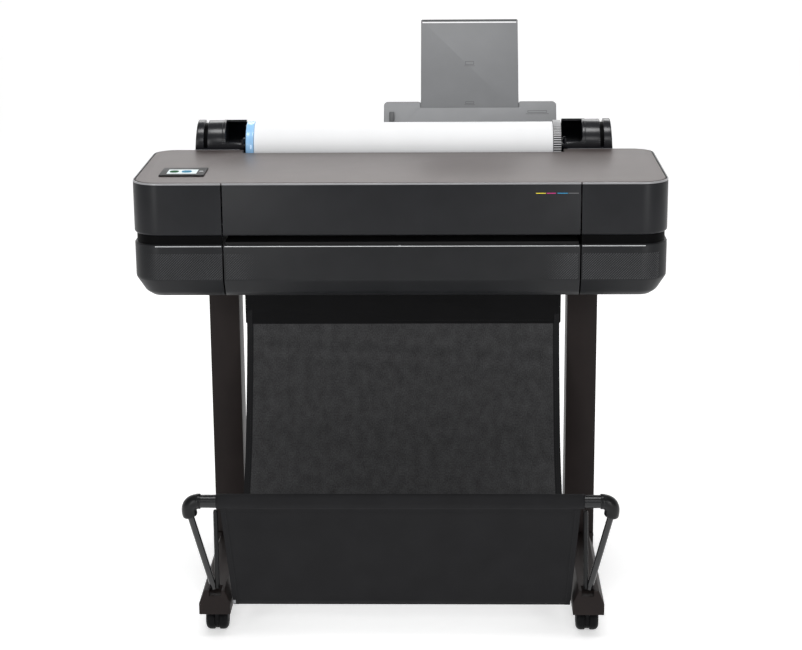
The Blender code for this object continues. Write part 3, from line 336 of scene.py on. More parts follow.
def finished(name, bm, material, edge=0.0, sharp_deg=38, segments=3):
    bmesh.ops.recalc_face_normals(bm, faces=bm.faces)
    mesh = bpy.data.meshes.new(name)
    bm.to_mesh(mesh)
    bm.free()
    mesh.materials.append(material)
    piece = bpy.data.objects.new(name, mesh)
    bpy.context.collection.objects.link(piece)
    if edge:
        bevel = piece.modifiers.new("edges", "BEVEL")
        bevel.width = edge
        bevel.segments = segments
        bevel.limit_method = "ANGLE"
        bevel.angle_limit = math.radians(sharp_deg)
        plain(piece)
    piece.data.shade_smooth()
    piece.data.set_sharp_from_angle(angle=math.radians(sharp_deg))
    return piece


def dress(piece, body, slot, *nodes):
    """Says what the piece moves with and hides the solids it stands for; the slot is not used."""
    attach(piece, body)
    if nodes:
        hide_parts(*nodes)
    return piece


# %% Prisms and turned shapes
def add_prism(bm, outline, axis, start, end):
    """A flat outline, in the other two axes in X, Y, Z order, run along one axis."""
    def place(point, along):
        spot = [point[0], point[1]]
        spot.insert("XYZ".index(axis), along)
        return spot

    skin(bm, [[place(point, along) for point in outline] for along in (start, end)])


def add_turned(bm, profile, axis, centre, sides=72, hollow=False):
    """A profile of (distance along the axis, radius), sent round an X, Y or Z axis."""
    along, across, up = {"X": (0, 1, 2), "Y": (1, 2, 0), "Z": (2, 0, 1)}[axis]
    rings = []
    for distance, radius in profile:
        ring = []
        for step in range(sides):
            angle = math.tau * step / sides
            spot = Vector((0, 0, 0))
            spot[along] = distance
            spot[across] = centre[across] + radius * math.cos(angle)
            spot[up] = centre[up] + radius * math.sin(angle)
            ring.append(spot)
        rings.append(ring)
    skin(bm, rings, closed=hollow)


def slab(name, outline, axis, start, end, material, edge, body, slot, *nodes):
    """One prism as a finished piece."""
    bm = bmesh.new()
    add_prism(bm, outline, axis, start, end)
    return dress(finished(name, bm, material, edge), body, slot, *nodes)


def turned(name, profile, axis, centre, sides, material, body, slot, *nodes, hollow=False, sharp_deg=30):
    """One turned shape as a finished piece."""
    bm = bmesh.new()
    add_turned(bm, profile, axis, centre, sides, hollow)
    return dress(finished(name, bm, material, 0, sharp_deg), body, slot, *nodes)


def add_tube(bm, path, radius, sides=28):
    """A round bar along a list of points."""
    beside = None
    rings = []
    for i, spot in enumerate(path):
        ahead = (path[min(i + 1, len(path) - 1)] - path[max(i - 1, 0)]).normalized()
        seed = beside or (Vector((0, 0, 1)) if abs(ahead.z) < 0.9 else Vector((0, 1, 0)))
        beside = (seed - ahead * seed.dot(ahead)).normalized()
        across = ahead.cross(beside)
        here = radius[i] if hasattr(radius, "__len__") else radius
        rings.append([spot + here * (math.cos(a) * beside + math.sin(a) * across)
                      for a in [math.tau * k / sides for k in range(sides)]])
    skin(bm, rings)


# %% A softened copy of a solid
def softened(node, body, slot, material, edge, sharp_deg=38):
    """The same solid with its sharp edges broken, in place of the plain one."""
    bm = bmesh.new()
    bm.from_mesh(frame["nodes"][node].data)
    bmesh.ops.remove_doubles(bm, verts=bm.verts, dist=1e-6)
    bmesh.ops.dissolve_limit(bm, angle_limit=math.radians(1), verts=bm.verts, edges=bm.edges)
    piece = finished(node + "_moulded", bm, material, edge, sharp_deg)
    return dress(piece, body, slot, node)


# %% [markdown]
# ## The casing
# The covers are stretches of one plan outline with round corners. Each cover is a section, drawn as
# inset from that outline and height, swept along its stretch. Sweeping keeps the faces of neighbours
# in line across the seams, and the round corners carry the soft vertical highlights.

# %% The plan outline
CORNER_STEPS = 26
FRONT_CORNER = 0.055
REAR_CORNER = 0.045
REAR_Y = high("top_trim").y
WALL = 0.003


def plan_stations():
    """The outline as (distance run, point, inward normal), from the rear middle by the left side."""
    corners = (((-HALF_WIDTH + REAR_CORNER, REAR_Y - REAR_CORNER), REAR_CORNER, 90),
               ((-HALF_WIDTH + FRONT_CORNER, FRONT_Y + FRONT_CORNER), FRONT_CORNER, 180),
               ((HALF_WIDTH - FRONT_CORNER, FRONT_Y + FRONT_CORNER), FRONT_CORNER, 270),
               ((HALF_WIDTH - REAR_CORNER, REAR_Y - REAR_CORNER), REAR_CORNER, 0))
    spots = [(Vector((0, REAR_Y)), Vector((0, -1)))]
    for centre, radius, first in corners:
        spots += [(p, (Vector(centre) - p) / radius) for p in arc(centre, radius, first, first + 90,
                                                                  CORNER_STEPS)]
    spots.append((Vector((0, REAR_Y)), Vector((0, -1))))
    run, stations = 0.0, []
    for i, (point, normal) in enumerate(spots):
        run += (point - spots[i - 1][0]).length if i else 0
        stations.append((run, point, normal))
    return stations


STATIONS = plan_stations()


def along_side(side, value):
    """How far round the outline a place on one of its straight sides lies."""
    index, sign, first = {
        "rear_left": (0, -1, 0.0),
        "front": (2 * CORNER_STEPS + 2, 1, -HALF_WIDTH + FRONT_CORNER),
        "right": (3 * CORNER_STEPS + 3, 1, FRONT_Y + FRONT_CORNER),
        "rear_right": (4 * CORNER_STEPS + 4, -1, HALF_WIDTH - REAR_CORNER)}[side]
    return STATIONS[index][0] + sign * (value - first)


def plan_between(start, end):
    def at(run):
        for (a, p, n), (b, q, m) in zip(STATIONS, STATIONS[1:]):
            if a <= run <= b and b > a:
                t = (run - a) / (b - a)
                return p.lerp(q, t), n.lerp(m, t).normalized()
        return STATIONS[-1][1], STATIONS[-1][2]

    return [at(start), *[(p, n) for run, p, n in STATIONS if start + 1e-6 < run < end - 1e-6], at(end)]


def band(name, section, start, end, material, edge=0.0005):
    bm = bmesh.new()
    skin(bm, [[(*(point + normal * inset), height) for inset, height in section]
              for point, normal in plan_between(start, end)])
    return finished(name, bm, material, edge, 50, 2)


def finish_above(piece, material, height):
    """Gives every face above a height another finish."""
    piece.data.materials.append(material)
    for face in piece.data.polygons:
        if face.center.z > height:
            face.material_index = 1


print(f"the outline is {STATIONS[-1][0]:.3f} m round")

# %% Sections of the covers
UPPER_LOW = low("left_upper_cover").z
UPPER_HIGH = high("left_upper_cover").z
LOWER_LOW = low("lower_front_cover").z
LOWER_HIGH = high("lower_front_cover").z
BEND_Z = LOWER_LOW + 0.0365
CHAMFER = 0.030
BELLY = (0.0180, BEND_Z - 0.0285)     # the lower covers curve in and under from here
RETURN = 0.011              # the upper covers turn in this far at the slot
RIM = 0.0045                # the dark rim behind the slot sits this far in
UPPER_HEM = 0.0062          # the upper covers roll under by this much at the slot


def upper_section():
    hem = UPPER_LOW - UPPER_HEM
    return rounded([(0, UPPER_HIGH, 0.0008), (0, hem, 0.0085), (RETURN, hem, 0.0008),
                    (RETURN, hem + 0.002, 0),
                    (WALL, hem + 0.011, 0.003), (WALL, UPPER_HIGH, 0)])


def lower_section(with_rim):
    section = [(0, LOWER_HIGH, 0.0030), (0, BEND_Z, 0.012), (*BELLY, 0.022), (CHAMFER, LOWER_LOW, 0.002),
               (CHAMFER + WALL, LOWER_LOW, 0), (WALL, BEND_Z + 0.4 * WALL, 0)]
    if with_rim:
        rim_top = UPPER_LOW - UPPER_HEM - 0.0003
        section += [(WALL, LOWER_HIGH - WALL, 0), (RIM + WALL, LOWER_HIGH - WALL, 0),
                    (RIM + WALL, rim_top, 0), (RIM, rim_top, 0.0006), (RIM, LOWER_HIGH - 0.0004, 0.0006)]
    else:
        section += [(WALL + 0.006, LOWER_HIGH - WALL, 0), (WALL + 0.006, LOWER_HIGH - 0.0004, 0)]
    return rounded(section)


# %% Sweep the covers
LEFT_SEAM, RIGHT_SEAM = low("front_window").x, high("front_window").x
SEAM = 0.0008
DOOR_END = along_side("right", high("ink_door").y)
SHADOW_GAP = 0.0009           # opens each front seam a little, so it reads as a dark line
STRETCHES = {
    "rear_left": along_side("rear_left", high("rear_cover").x * -1 - SEAM),
    "front_left": along_side("front", LEFT_SEAM - SEAM - SHADOW_GAP),
    "window": (along_side("front", LEFT_SEAM + SHADOW_GAP), along_side("front", RIGHT_SEAM - SHADOW_GAP)),
    "front_right": along_side("front", RIGHT_SEAM + SEAM + SHADOW_GAP),
    "rear_right": along_side("rear_right", high("rear_cover").x + SEAM)}
WINDOW_SPAN = STRETCHES["window"]
COVERS = (
    ("left_upper_cover", upper_section(), STRETCHES["rear_left"], STRETCHES["front_left"], "printer"),
    ("right_upper_cover", upper_section(), DOOR_END + SEAM, STRETCHES["rear_right"], "printer"),
    ("ink_door", upper_section(), STRETCHES["front_right"], DOOR_END, "ink_door"),
    ("front_window", upper_section(), *WINDOW_SPAN, "front_window"),
    ("lower_left_cover", lower_section(True), STRETCHES["rear_left"], STRETCHES["front_left"], "printer"),
    ("lower_right_cover", lower_section(True), STRETCHES["front_right"], STRETCHES["rear_right"], "printer"),
    ("lower_front_cover", lower_section(False), *WINDOW_SPAN, "printer"))
for name, section, start, end, body in COVERS:
    lower = name.startswith("lower")
    cover = band(name + "_moulding", section, start, end, LOWER_CHARCOAL if lower else CHARCOAL)
    if lower:
        # The rim faces behind the slot get the near-black painted shade.
        finish_above(cover, GAP_PAINTED_SHADE, LOWER_HIGH + 0.0005)
    dress(cover, body, "woven_cover" if lower else "charcoal_cover", name)
print("swept", len(COVERS), "covers")

# %% Trim and top plate
TRIM_LOW, TRIM_HIGH = low("top_trim").z, high("top_trim").z
PLATE_INSET = 0.0052
NOTCH_HALF = high("right_hub").x + 0.005


def make_trim():
    section = rounded([(0, TRIM_LOW, 0.0002), (0, TRIM_HIGH, 0.0009), (0.0025, TRIM_HIGH, 0.0006),
                       (0.0025, TRIM_LOW, 0)], 4)
    parts = (("left", STRETCHES["rear_left"], STRETCHES["front_left"]), ("middle", *WINDOW_SPAN),
             ("right", STRETCHES["front_right"], STRETCHES["rear_right"]))
    for place, start, end in parts:
        strip = band("top_trim_" + place, section, start, end, TRIM, 0)
        dress(strip, "printer", "trim_grey", *(["top_trim"] if place == "middle" else []))


def make_top_plate():
    stretch = plan_between(along_side("rear_left", -NOTCH_HALF), along_side("rear_right", NOTCH_HALF))
    plan = [point + normal * PLATE_INSET for point, normal in stretch]
    left, right = plan[0].x, plan[-1].x
    notch_y = FRONT_Y + 0.330
    notch = rounded([(right, plan[0].y, 0), (right, notch_y, 0.008), (left, notch_y, 0.008),
                     (left, plan[0].y, 0)])[1:-1]
    return slab("top_cover_plate", plan + notch, "Z", low("top_cover").z, high("top_cover").z, TAUPE, 0.0009,
                "printer", "taupe_cover", "top_cover")


make_trim()
print("top plate has", len(make_top_plate().data.vertices), "points")


# %% [markdown]
# ## The diamond texture of the lower band
# Small pyramids in staggered rows give the lower band its woven look. They repeat by a rule, so a
# Geometry Nodes tree makes them: two grids of points, one shifted by half a pitch, and one four-sided
# cone on every point. The tree ends in real geometry, because instances don't leave Blender.

# %% Tree helper
def new_tree(name, inputs):
    """A node tree with named inputs. It gives back the tree, its input node and its output node."""
    tree = bpy.data.node_groups.new(name, "GeometryNodeTree")
    tree.interface.new_socket("Geometry", in_out="INPUT", socket_type="NodeSocketGeometry")
    for label, kind in inputs:
        tree.interface.new_socket(label, in_out="INPUT", socket_type="NodeSocket" + kind)
    tree.interface.new_socket("Geometry", in_out="OUTPUT", socket_type="NodeSocketGeometry")
    return tree, tree.nodes.new("NodeGroupInput"), tree.nodes.new("NodeGroupOutput")


def add_node(tree, kind, settings=None, **sockets):
    """Adds a node. Sockets are given by name, or as _0 and _1, as a value or as another node's output."""
    made = tree.nodes.new(kind)
    for key, value in (settings or {}).items():
        setattr(made, key, value)
    for key, value in sockets.items():
        socket = made.inputs[int(key[1:]) if key[0] == "_" else key.replace("_", " ")]
        if isinstance(value, bpy.types.NodeSocket):
            tree.links.new(value, socket)
        else:
            socket.default_value = value
    return made


def close_tree(tree, source, group_in, group_out):
    """Every tree ends in Realize Instances and Set Material."""
    real = add_node(tree, "GeometryNodeRealizeInstances", Geometry=source)
    coat = add_node(tree, "GeometryNodeSetMaterial", Geometry=real.outputs[0],
                    Material=group_in.outputs["Material"])
    tree.links.new(coat.outputs[0], group_out.inputs[0])


def grown(name, tree, values, base=None):
    """Runs a tree on a base mesh and keeps the result as a plain mesh."""
    mesh = base or bpy.data.meshes.new(name)
    piece = bpy.data.objects.new(name, mesh)
    bpy.context.collection.objects.link(piece)
    modifier = piece.modifiers.new("grow", "NODES")
    modifier.node_group = tree
    sockets = {item.name: item.identifier for item in tree.interface.items_tree if item.in_out == "INPUT"}
    for label, value in values.items():
        modifier[sockets[label]] = value
    plain(piece)
    print(name, "has", len(piece.data.polygons), "faces")
    return piece


# %% Pyramids in staggered rows
def diamond_tree():
    tree, group_in, group_out = new_tree("diamond_field", (
        ("Width", "Float"), ("Height", "Float"), ("Columns", "Int"), ("Rows", "Int"), ("Size", "Float"),
        ("Relief", "Float"), ("Place", "Vector"), ("Shift", "Vector"), ("Fade Start", "Float"),
        ("Fade End", "Float"), ("Material", "Material")))
    get = group_in.outputs
    grid = add_node(tree, "GeometryNodeMeshGrid", Size_X=get["Width"], Size_Y=get["Height"],
                Vertices_X=get["Columns"], Vertices_Y=get["Rows"])
    twin = add_node(tree, "GeometryNodeTransform", Geometry=grid.outputs[0], Translation=get["Shift"])
    both = tree.nodes.new("GeometryNodeJoinGeometry")
    for source in (grid, twin):
        tree.links.new(source.outputs[0], both.inputs[0])
    cone = add_node(tree, "GeometryNodeMeshCone", {"fill_type": "NGON"}, Vertices=4,
                    Radius_Bottom=get["Size"],
                Depth=get["Relief"])
    slanted = add_node(tree, "GeometryNodeTransform", Geometry=cone.outputs[0], Scale=(1.45, 0.54, 1.0))
    spot = tree.nodes.new("GeometryNodeInputPosition")
    across = add_node(tree, "ShaderNodeSeparateXYZ", Vector=spot.outputs[0])
    fade = add_node(tree, "ShaderNodeMapRange", Value=across.outputs["X"], From_Min=get["Fade Start"],
                From_Max=get["Fade End"])
    spread = add_node(tree, "GeometryNodeInstanceOnPoints", Points=both.outputs[0],
                      Instance=slanted.outputs[0],
                  Rotation=(0, 0, math.radians(45)), Scale=fade.outputs["Result"])
    upright = add_node(tree, "GeometryNodeTransform", Geometry=spread.outputs[0], Translation=get["Place"],
                   Rotation=(math.radians(90), 0, 0))
    close_tree(tree, upright.outputs[0], group_in, group_out)
    return tree


DIAMOND_PITCH = 0.0049
DIAMOND_RELIEF = 0.0007
FIELD_Z = (BEND_Z + 0.0020, LOWER_HIGH - 0.0175)
DIAMONDS = diamond_tree()


def make_field(name, start, end, fade=(-10, -9)):
    columns = round((end - start) / DIAMOND_PITCH)
    rows = round((FIELD_Z[1] - FIELD_Z[0]) / DIAMOND_PITCH)
    width, height = (columns - 1) * DIAMOND_PITCH, (rows - 1) * DIAMOND_PITCH
    field = grown(name, DIAMONDS, {
        "Width": width, "Height": height, "Columns": columns, "Rows": rows,
        "Size": DIAMOND_PITCH * 0.45, "Relief": DIAMOND_RELIEF,
        "Place": ((start + end) / 2 - DIAMOND_PITCH / 4, FRONT_Y + 0.0001,
                  sum(FIELD_Z) / 2 - DIAMOND_PITCH / 4),
        "Fade Start": fade[0], "Fade End": fade[1],
        "Shift": (DIAMOND_PITCH / 2, DIAMOND_PITCH / 2, 0), "Material": WEAVE_PAINTED_HIGHLIGHT})
    wrap_round_corners(field)
    return dress(field, "printer", "woven_cover")


def wrap_round_corners(field):
    """Lays everything past the flat front round the corners of the outline."""
    flat_end = HALF_WIDTH - FRONT_CORNER
    for vert in field.data.vertices:
        past = abs(vert.co.x) - flat_end
        if past > 0:
            side = math.copysign(1, vert.co.x)
            reach = FRONT_CORNER + FRONT_Y - vert.co.y
            angle = past / FRONT_CORNER
            vert.co.x = side * (flat_end + reach * math.sin(angle))
            vert.co.y = FRONT_Y + FRONT_CORNER - reach * math.cos(angle)


FLAT_END = HALF_WIDTH - FRONT_CORNER + 0.040
SIDE_HALF = (FLAT_END + LEFT_SEAM - 0.004) / 2
# The left field shrinks to nothing towards the corner, where the band lies in shade, so its painted highlight
# fades out there.
make_field("diamonds_left", -FLAT_END, LEFT_SEAM - 0.004, (-SIDE_HALF, -SIDE_HALF + 0.045))
FADE_WIDTH = 0.085
FADE = (FADE_WIDTH / 2 - 0.006, -FADE_WIDTH / 2 + 0.02)
make_field("diamonds_middle_left", LEFT_SEAM + 0.004, LEFT_SEAM + 0.004 + FADE_WIDTH, FADE)
make_field("diamonds_middle_right", RIGHT_SEAM - 0.004 - FADE_WIDTH, RIGHT_SEAM - 0.004, (-FADE[0], -FADE[1]))
make_field("diamonds_right", RIGHT_SEAM + 0.004, FLAT_END)

# %% [markdown]
# ## Small marks on the casing
# A status light glows under the window, four coloured dashes stand for the four inks, and the touch
# display sits in a black frame. All are thin slabs that stand a fraction of a millimetre proud.


# %% Slabs on the front and on the top
def front_slab(name, x_range, z_range, proud, material, body, slot, corner=0.0004, depth=0.001):
    return slab(name, rectangle(x_range, z_range, corner, 4), "Y", FRONT_Y - proud, FRONT_Y - proud + depth,
                material, 0.0001, body, slot)


def top_slab(name, x_range, y_range, z_range, material, slot, corner=0.001, edge=0.0002, body="printer"):
    return slab(name, rectangle(x_range, y_range, corner), "Z", *z_range, material, edge, body, slot)


front_slab("status_light", (-0.0197, 0.0310), (UPPER_LOW - UPPER_HEM + 0.0014,
                                               UPPER_LOW - UPPER_HEM + 0.0028), -0.0018, STATUS_BLUE,
           "front_window", "charcoal_cover", depth=0.0030)
# The pale lines along the top of the lower band are painted highlight, the light caught by its rounded top
# edge.
LIP_Z = (LOWER_HIGH - 0.0031, LOWER_HIGH - 0.0018)
LIP_END = HALF_WIDTH - FRONT_CORNER + 0.010
for place, start, end in (("left", -LIP_END, LEFT_SEAM - 0.003), ("middle", LEFT_SEAM + 0.003,
                                                                  RIGHT_SEAM - 0.003),
                          ("right", RIGHT_SEAM + 0.003, LIP_END)):
    front_slab("lip_highlight_line_" + place, (start, end), LIP_Z, 0.0001, LIP_HIGHLIGHT, "printer", "woven_cover", depth=0.0014)
front_slab("slot_mark", (-0.0020, 0.0020), (LOWER_HIGH - 0.0016, LOWER_HIGH - 0.0004), 0.0002, MARK,
           "printer", "woven_cover")
DASH_Z = (0.8549, 0.8562)
for colour, start, end in (("yellow", 0.2549, 0.2735), ("magenta", 0.2752, 0.2921),
                           ("cyan", 0.2951, 0.3145), ("black", 0.3155, 0.3351)):
    front_slab("ink_dash_" + colour, (start, end), DASH_Z, 0.0002, INKS[colour], "front_window",
               "ink_" + colour)


# %% The touch display
def make_display():
    softened("control_panel", "printer", "black_plastic", PANEL_BLACK, 0.0008)
    top = high("control_panel").z
    y_range = (FRONT_Y + 0.0860, FRONT_Y + 0.1300)
    top_slab("display", (-0.4470, -0.3900), y_range, (top - 0.0006, top + 0.0002), SCREEN, "black_plastic")
    icon_y = (FRONT_Y + 0.0960, FRONT_Y + 0.1200)
    icon_z = (top, top + 0.0003)
    top_slab("display_green_icon", (-0.4430, -0.4260), icon_y, icon_z, SCREEN_GREEN, "black_plastic", 0.0078,
             0)
    top_slab("display_blue_icon", (-0.4200, -0.4010), icon_y, icon_z, SCREEN_BLUE, "black_plastic", 0.0078, 0)


make_display()
softened("power_button", "power_button", "trim_grey", MARK, 0.0004)
print("display and marks made")


# %% [markdown]
# ## Roll and hubs
# The paper is wound in a spiral, so its outer edge shows as one fine step along the roll. The left hub
# is a smooth blue flange. The right hub is a knob with fine ribs for grip, which Geometry Nodes put
# round a circle.

# %% The paper
ROLL_LOW, ROLL_HIGH = low("paper_roll"), high("paper_roll")
ROLL_AXIS = middle("paper_roll")
ROLL_R = (ROLL_HIGH.z - ROLL_LOW.z) / 2
CORE_R = 0.026
PAPER_STEP = 0.0003


def make_paper():
    sides = 144
    bm = bmesh.new()
    rings = []
    edge = 0.0006
    for x, radius in ((ROLL_LOW.x, ROLL_R - edge), (ROLL_LOW.x + edge, ROLL_R), (ROLL_HIGH.x - edge, ROLL_R),
                      (ROLL_HIGH.x, ROLL_R - edge), (ROLL_HIGH.x, CORE_R), (ROLL_LOW.x, CORE_R)):
        wound = PAPER_STEP if radius > CORE_R else 0
        ring = []
        for k in range(sides):
            angle = math.radians(200) + math.tau * k / sides
            spiral = radius - wound * (1 - k / (sides - 1))
            ring.append((x, ROLL_AXIS.y + spiral * math.cos(angle), ROLL_AXIS.z + spiral * math.sin(angle)))
        rings.append(ring)
    skin(bm, rings, closed=True)
    return dress(finished("wound_paper", bm, PAPER, 0, 30), "roll", "roll_paper", "paper_roll")


make_paper()


# %% The blue flange
def make_left_hub():
    inner, outer = ROLL_LOW.x - 0.0003, low("left_hub").x
    radius = (high("left_hub").z - low("left_hub").z) / 2
    bore, plug = 0.0123, ROLL_LOW.x + 0.030
    waist = (inner + outer) / 2
    profile = [(plug, bore), (plug, CORE_R - 0.0003), (inner, CORE_R - 0.0003), (inner, radius - 0.001),
               (inner - 0.0006, radius), (waist + 0.003, radius), (waist, radius - 0.0012),
               (waist - 0.003, radius - 0.0008), (outer + 0.0015, radius - 0.0008),
               (outer, radius - 0.0025), (outer, radius - 0.012), (outer + 0.003, radius - 0.014),
               (outer + 0.003, CORE_R), (outer, CORE_R - 0.002), (outer, bore)]
    return turned("blue_flange", profile, "X", ROLL_AXIS, 96, HUB_BLUE, "roll", "blue_hub", "left_hub",
                  hollow=True)


make_left_hub()


# %% The ribbed knob
def rib_tree():
    tree, group_in, group_out = new_tree("ribs", (
        ("Count", "Int"), ("Radius", "Float"), ("Rib", "Vector"), ("Place", "Vector"),
        ("Material", "Material")))
    get = group_in.outputs
    circle = add_node(tree, "GeometryNodeMeshCircle", Vertices=get["Count"], Radius=get["Radius"])
    rib = add_node(tree, "GeometryNodeMeshCube", Size=get["Rib"])
    index = tree.nodes.new("GeometryNodeInputIndex")
    share = add_node(tree, "ShaderNodeMath", {"operation": "DIVIDE"}, _0=index.outputs[0], _1=get["Count"])
    turn = add_node(tree, "ShaderNodeMath", {"operation": "MULTIPLY"}, _0=share.outputs[0], _1=math.tau)
    angle = add_node(tree, "ShaderNodeCombineXYZ", Z=turn.outputs[0])
    spread = add_node(tree, "GeometryNodeInstanceOnPoints", Points=circle.outputs[0], Instance=rib.outputs[0],
                  Rotation=angle.outputs[0])
    stand = add_node(tree, "GeometryNodeTransform", Geometry=spread.outputs[0], Translation=get["Place"],
                 Rotation=(math.radians(90), 0, math.radians(90)))
    close_tree(tree, stand.outputs[0], group_in, group_out)
    return tree


def make_right_hub():
    inner, outer = ROLL_HIGH.x + 0.0003, high("right_hub").x
    radius = (high("right_hub").z - low("right_hub").z) / 2
    bore, plug = 0.0123, ROLL_HIGH.x - 0.030
    depth = 0.0022
    profile = [(plug, bore), (plug, CORE_R - 0.0003), (inner, CORE_R - 0.0003), (inner, radius - depth),
               (outer - 0.001, radius - depth), (outer, radius - depth - 0.001), (outer, radius - 0.014),
               (outer - 0.003, radius - 0.016), (outer - 0.003, CORE_R), (outer, CORE_R - 0.002),
               (outer, bore)]
    # The near-black body shows between the ribs as painted shade in the gaps.
    turned("knob_body", profile, "X", ROLL_AXIS, 96, KNOB_BODY_PAINTED_SHADE, "roll", "hub_grey", "right_hub", hollow=True)
    length = outer - inner - 0.0006
    ribs = grown("knob_ribs", rib_tree(), {
        "Count": round(math.tau * radius / 0.0049), "Radius": radius - depth / 2 - 0.0001,
        "Rib": (depth, 0.0022, length),
        "Place": ((inner + outer) / 2, ROLL_AXIS.y, ROLL_AXIS.z), "Material": HUB_RIBS})
    dress(ribs, "roll", "hub_grey")


make_right_hub()

# %% [markdown]
# ## Roll holders
# Each holder is a drum: an outer disc, a narrow groove and a housing, with an open cradle on the roll
# side that the spindle drops into. They are turned and swept with generous round edges, because on
# glossy black plastic the edges are what the eye sees.


# %% One holder
def make_holder(name, side):
    box_low, box_high = low(name), high(name)
    radius = (box_high.y - box_low.y) / 2
    axis = Vector((0, (box_low.y + box_high.y) / 2, box_high.z - radius))
    outer_x = side * max(abs(box_low.x), abs(box_high.x))
    inner_x = side * min(abs(box_low.x), abs(box_high.x))
    disc, gap, cradle, wall, edge = 0.019, 0.0071, 0.040, 0.005, 0.0022
    collar, lean = 0.0075, 0.0058
    house_end = abs(outer_x - inner_x) - cradle

    def inwards(distance):
        return outer_x - side * distance

    def soft(start, end, reach):
        """A drum between two distances from the outer face, with round rims."""
        lead = arc((start + edge, reach - edge), edge, 180, 90, 5)
        tail = arc((end - edge, reach - edge), edge, 90, 0, 5)
        return [(inwards(p.x), p.y) for p in lead + tail]

    def leaned(piece):
        """The outer end leans in towards its top."""
        for vert in piece.data.vertices:
            share = 1 - abs(outer_x - vert.co.x) / (disc + gap + 0.006)
            if share > 0:
                vert.co.x -= side * lean * share * (vert.co.z - axis.z + radius) / (2 * radius)
        return piece

    bm = bmesh.new()
    add_turned(bm, soft(0, disc, radius), "X", axis, 96)
    add_turned(bm, soft(disc + gap, house_end - collar + 0.003, radius - 0.0010), "X", axis, 96)
    add_turned(bm, soft(house_end - collar, house_end, radius), "X", axis, 96)
    centre = (axis.y, axis.z)
    lower = arc(centre, radius - 0.0008, 188, 352, 40) + arc(centre, radius - 0.009, 352, 188, 40)
    add_prism(bm, lower, "X", inwards(disc - 0.002), inwards(disc + gap + 0.002))
    rings = []
    lip_level, lip_rise, fillet = -187, 30, 0.13
    for step in range(25):
        t = (step / 24) ** 1.8
        bend = max(0.0, 1 - t / fillet)
        lip = lip_level + 6 * t - lip_rise * (1 - math.sqrt(1 - bend * bend))
        ring = arc(centre, radius - 0.0004, 85, lip, 56) + arc(centre, radius - wall, lip, 85, 56)
        x = inwards(house_end - 0.002) * (1 - t) + inner_x * t
        rings.append([(x, *point) for point in ring])
    skin(bm, rings)
    dress(leaned(finished(name + "_drum", bm, DARK_GLOSS, 0.0012)), "printer", "black_plastic", name)
    # A near-black core deep in the holder's groove is painted shade.
    core = [(inwards(disc - 0.004), radius - 0.007), (inwards(disc + gap + 0.004), radius - 0.007)]
    leaned(turned(name + "_core", core, "X", axis, 72, GAP_PAINTED_SHADE, "printer", "black_plastic"))

    bm = bmesh.new()
    low_z = box_low.z
    house_x = inwards(house_end)
    foot_x = sorted((house_x, inwards(0.004)))
    shelf_x = sorted((inner_x, house_x))
    for span, top in ((foot_x, axis.z - 0.020), (shelf_x, axis.z - radius + 0.006)):
        add_prism(bm, rectangle((box_low.y, box_high.y), (low_z, top), 0.004, 4), "X", *span)
    saddle_x = sorted((inner_x + side * 0.016, inner_x + side * 0.028))
    seat = arc((ROLL_AXIS.y, ROLL_AXIS.z), 0.0123, 180, 360, 20)
    half = 0.018
    saddle = [Vector((ROLL_AXIS.y + half, ROLL_AXIS.z)), Vector((ROLL_AXIS.y + half,
                                                                 axis.z - radius + 0.004)),
              Vector((ROLL_AXIS.y - half, axis.z - radius + 0.004)), Vector((ROLL_AXIS.y - half,
                                                                             ROLL_AXIS.z))]
    add_prism(bm, seat + saddle, "X", *saddle_x)
    dress(finished(name + "_block", bm, DARK_GLOSS, 0.0014), "printer", "black_plastic")


make_holder("roll_holder_left", -1)
make_holder("roll_holder_right", 1)


# %% The spindle
def make_spindle():
    ends = low("spindle").x, high("spindle").x
    bm = bmesh.new()
    profile = [(ends[0], 0.0105), (ends[0] + 0.0015, 0.012), (ends[1] - 0.0015, 0.012), (ends[1], 0.0105)]
    add_turned(bm, profile, "X", ROLL_AXIS, 48)
    for side, end in ((-1, ends[0]), (1, ends[1])):
        hub_face = side * (abs(ends[0]) - 0.0360)
        rings = [(hub_face + side * d, r) for d, r in ((0, 0.0120), (0.001, 0.0185), (0.0045, 0.0200),
                                                       (0.0080, 0.0185), (0.0090, 0.0120))]
        add_turned(bm, rings, "X", ROLL_AXIS, 48)
    return dress(finished("spindle_bar", bm, DARK_GLOSS, 0, 30), "roll", "black_plastic", "spindle")


make_spindle()
print("roll, hubs, spindle and two holders made")

# %% [markdown]
# ## Sheet tray
# The tray leans back behind the roll. It is built flat, as outlines in width and height, and then laid
# on its lean. Its front skin is cut down in the middle, so the extension can slide behind it.

# %% The leaning plane
TRAY_PIVOT = Vector(JOINTS["tray_tilt"]["pos_m"])
TRAY_UP = Vector(JOINTS["tray_extension_slide"]["axis"]).normalized()
TRAY_OUT = Vector((0, -TRAY_UP.z, TRAY_UP.y))     # out of the tray's face, towards the front
TRAY_HEIGHT = 0.100
LIP_HEIGHT = 0.086


def add_leaning(bm, outline, back, front):
    """An outline of (x, distance up the tray), thick from back to front."""
    rings = []
    for proud in (back, front):
        rings.append([Vector((x, TRAY_PIVOT.y, TRAY_PIVOT.z)) + TRAY_UP * up + TRAY_OUT * proud
                      for x, up in outline])
    skin(bm, rings)


def leaning_piece(name, outline, back, front, material, edge, body, *nodes):
    bm = bmesh.new()
    add_leaning(bm, outline, back, front)
    return dress(finished(name, bm, material, edge), body, "tray_grey", *nodes)


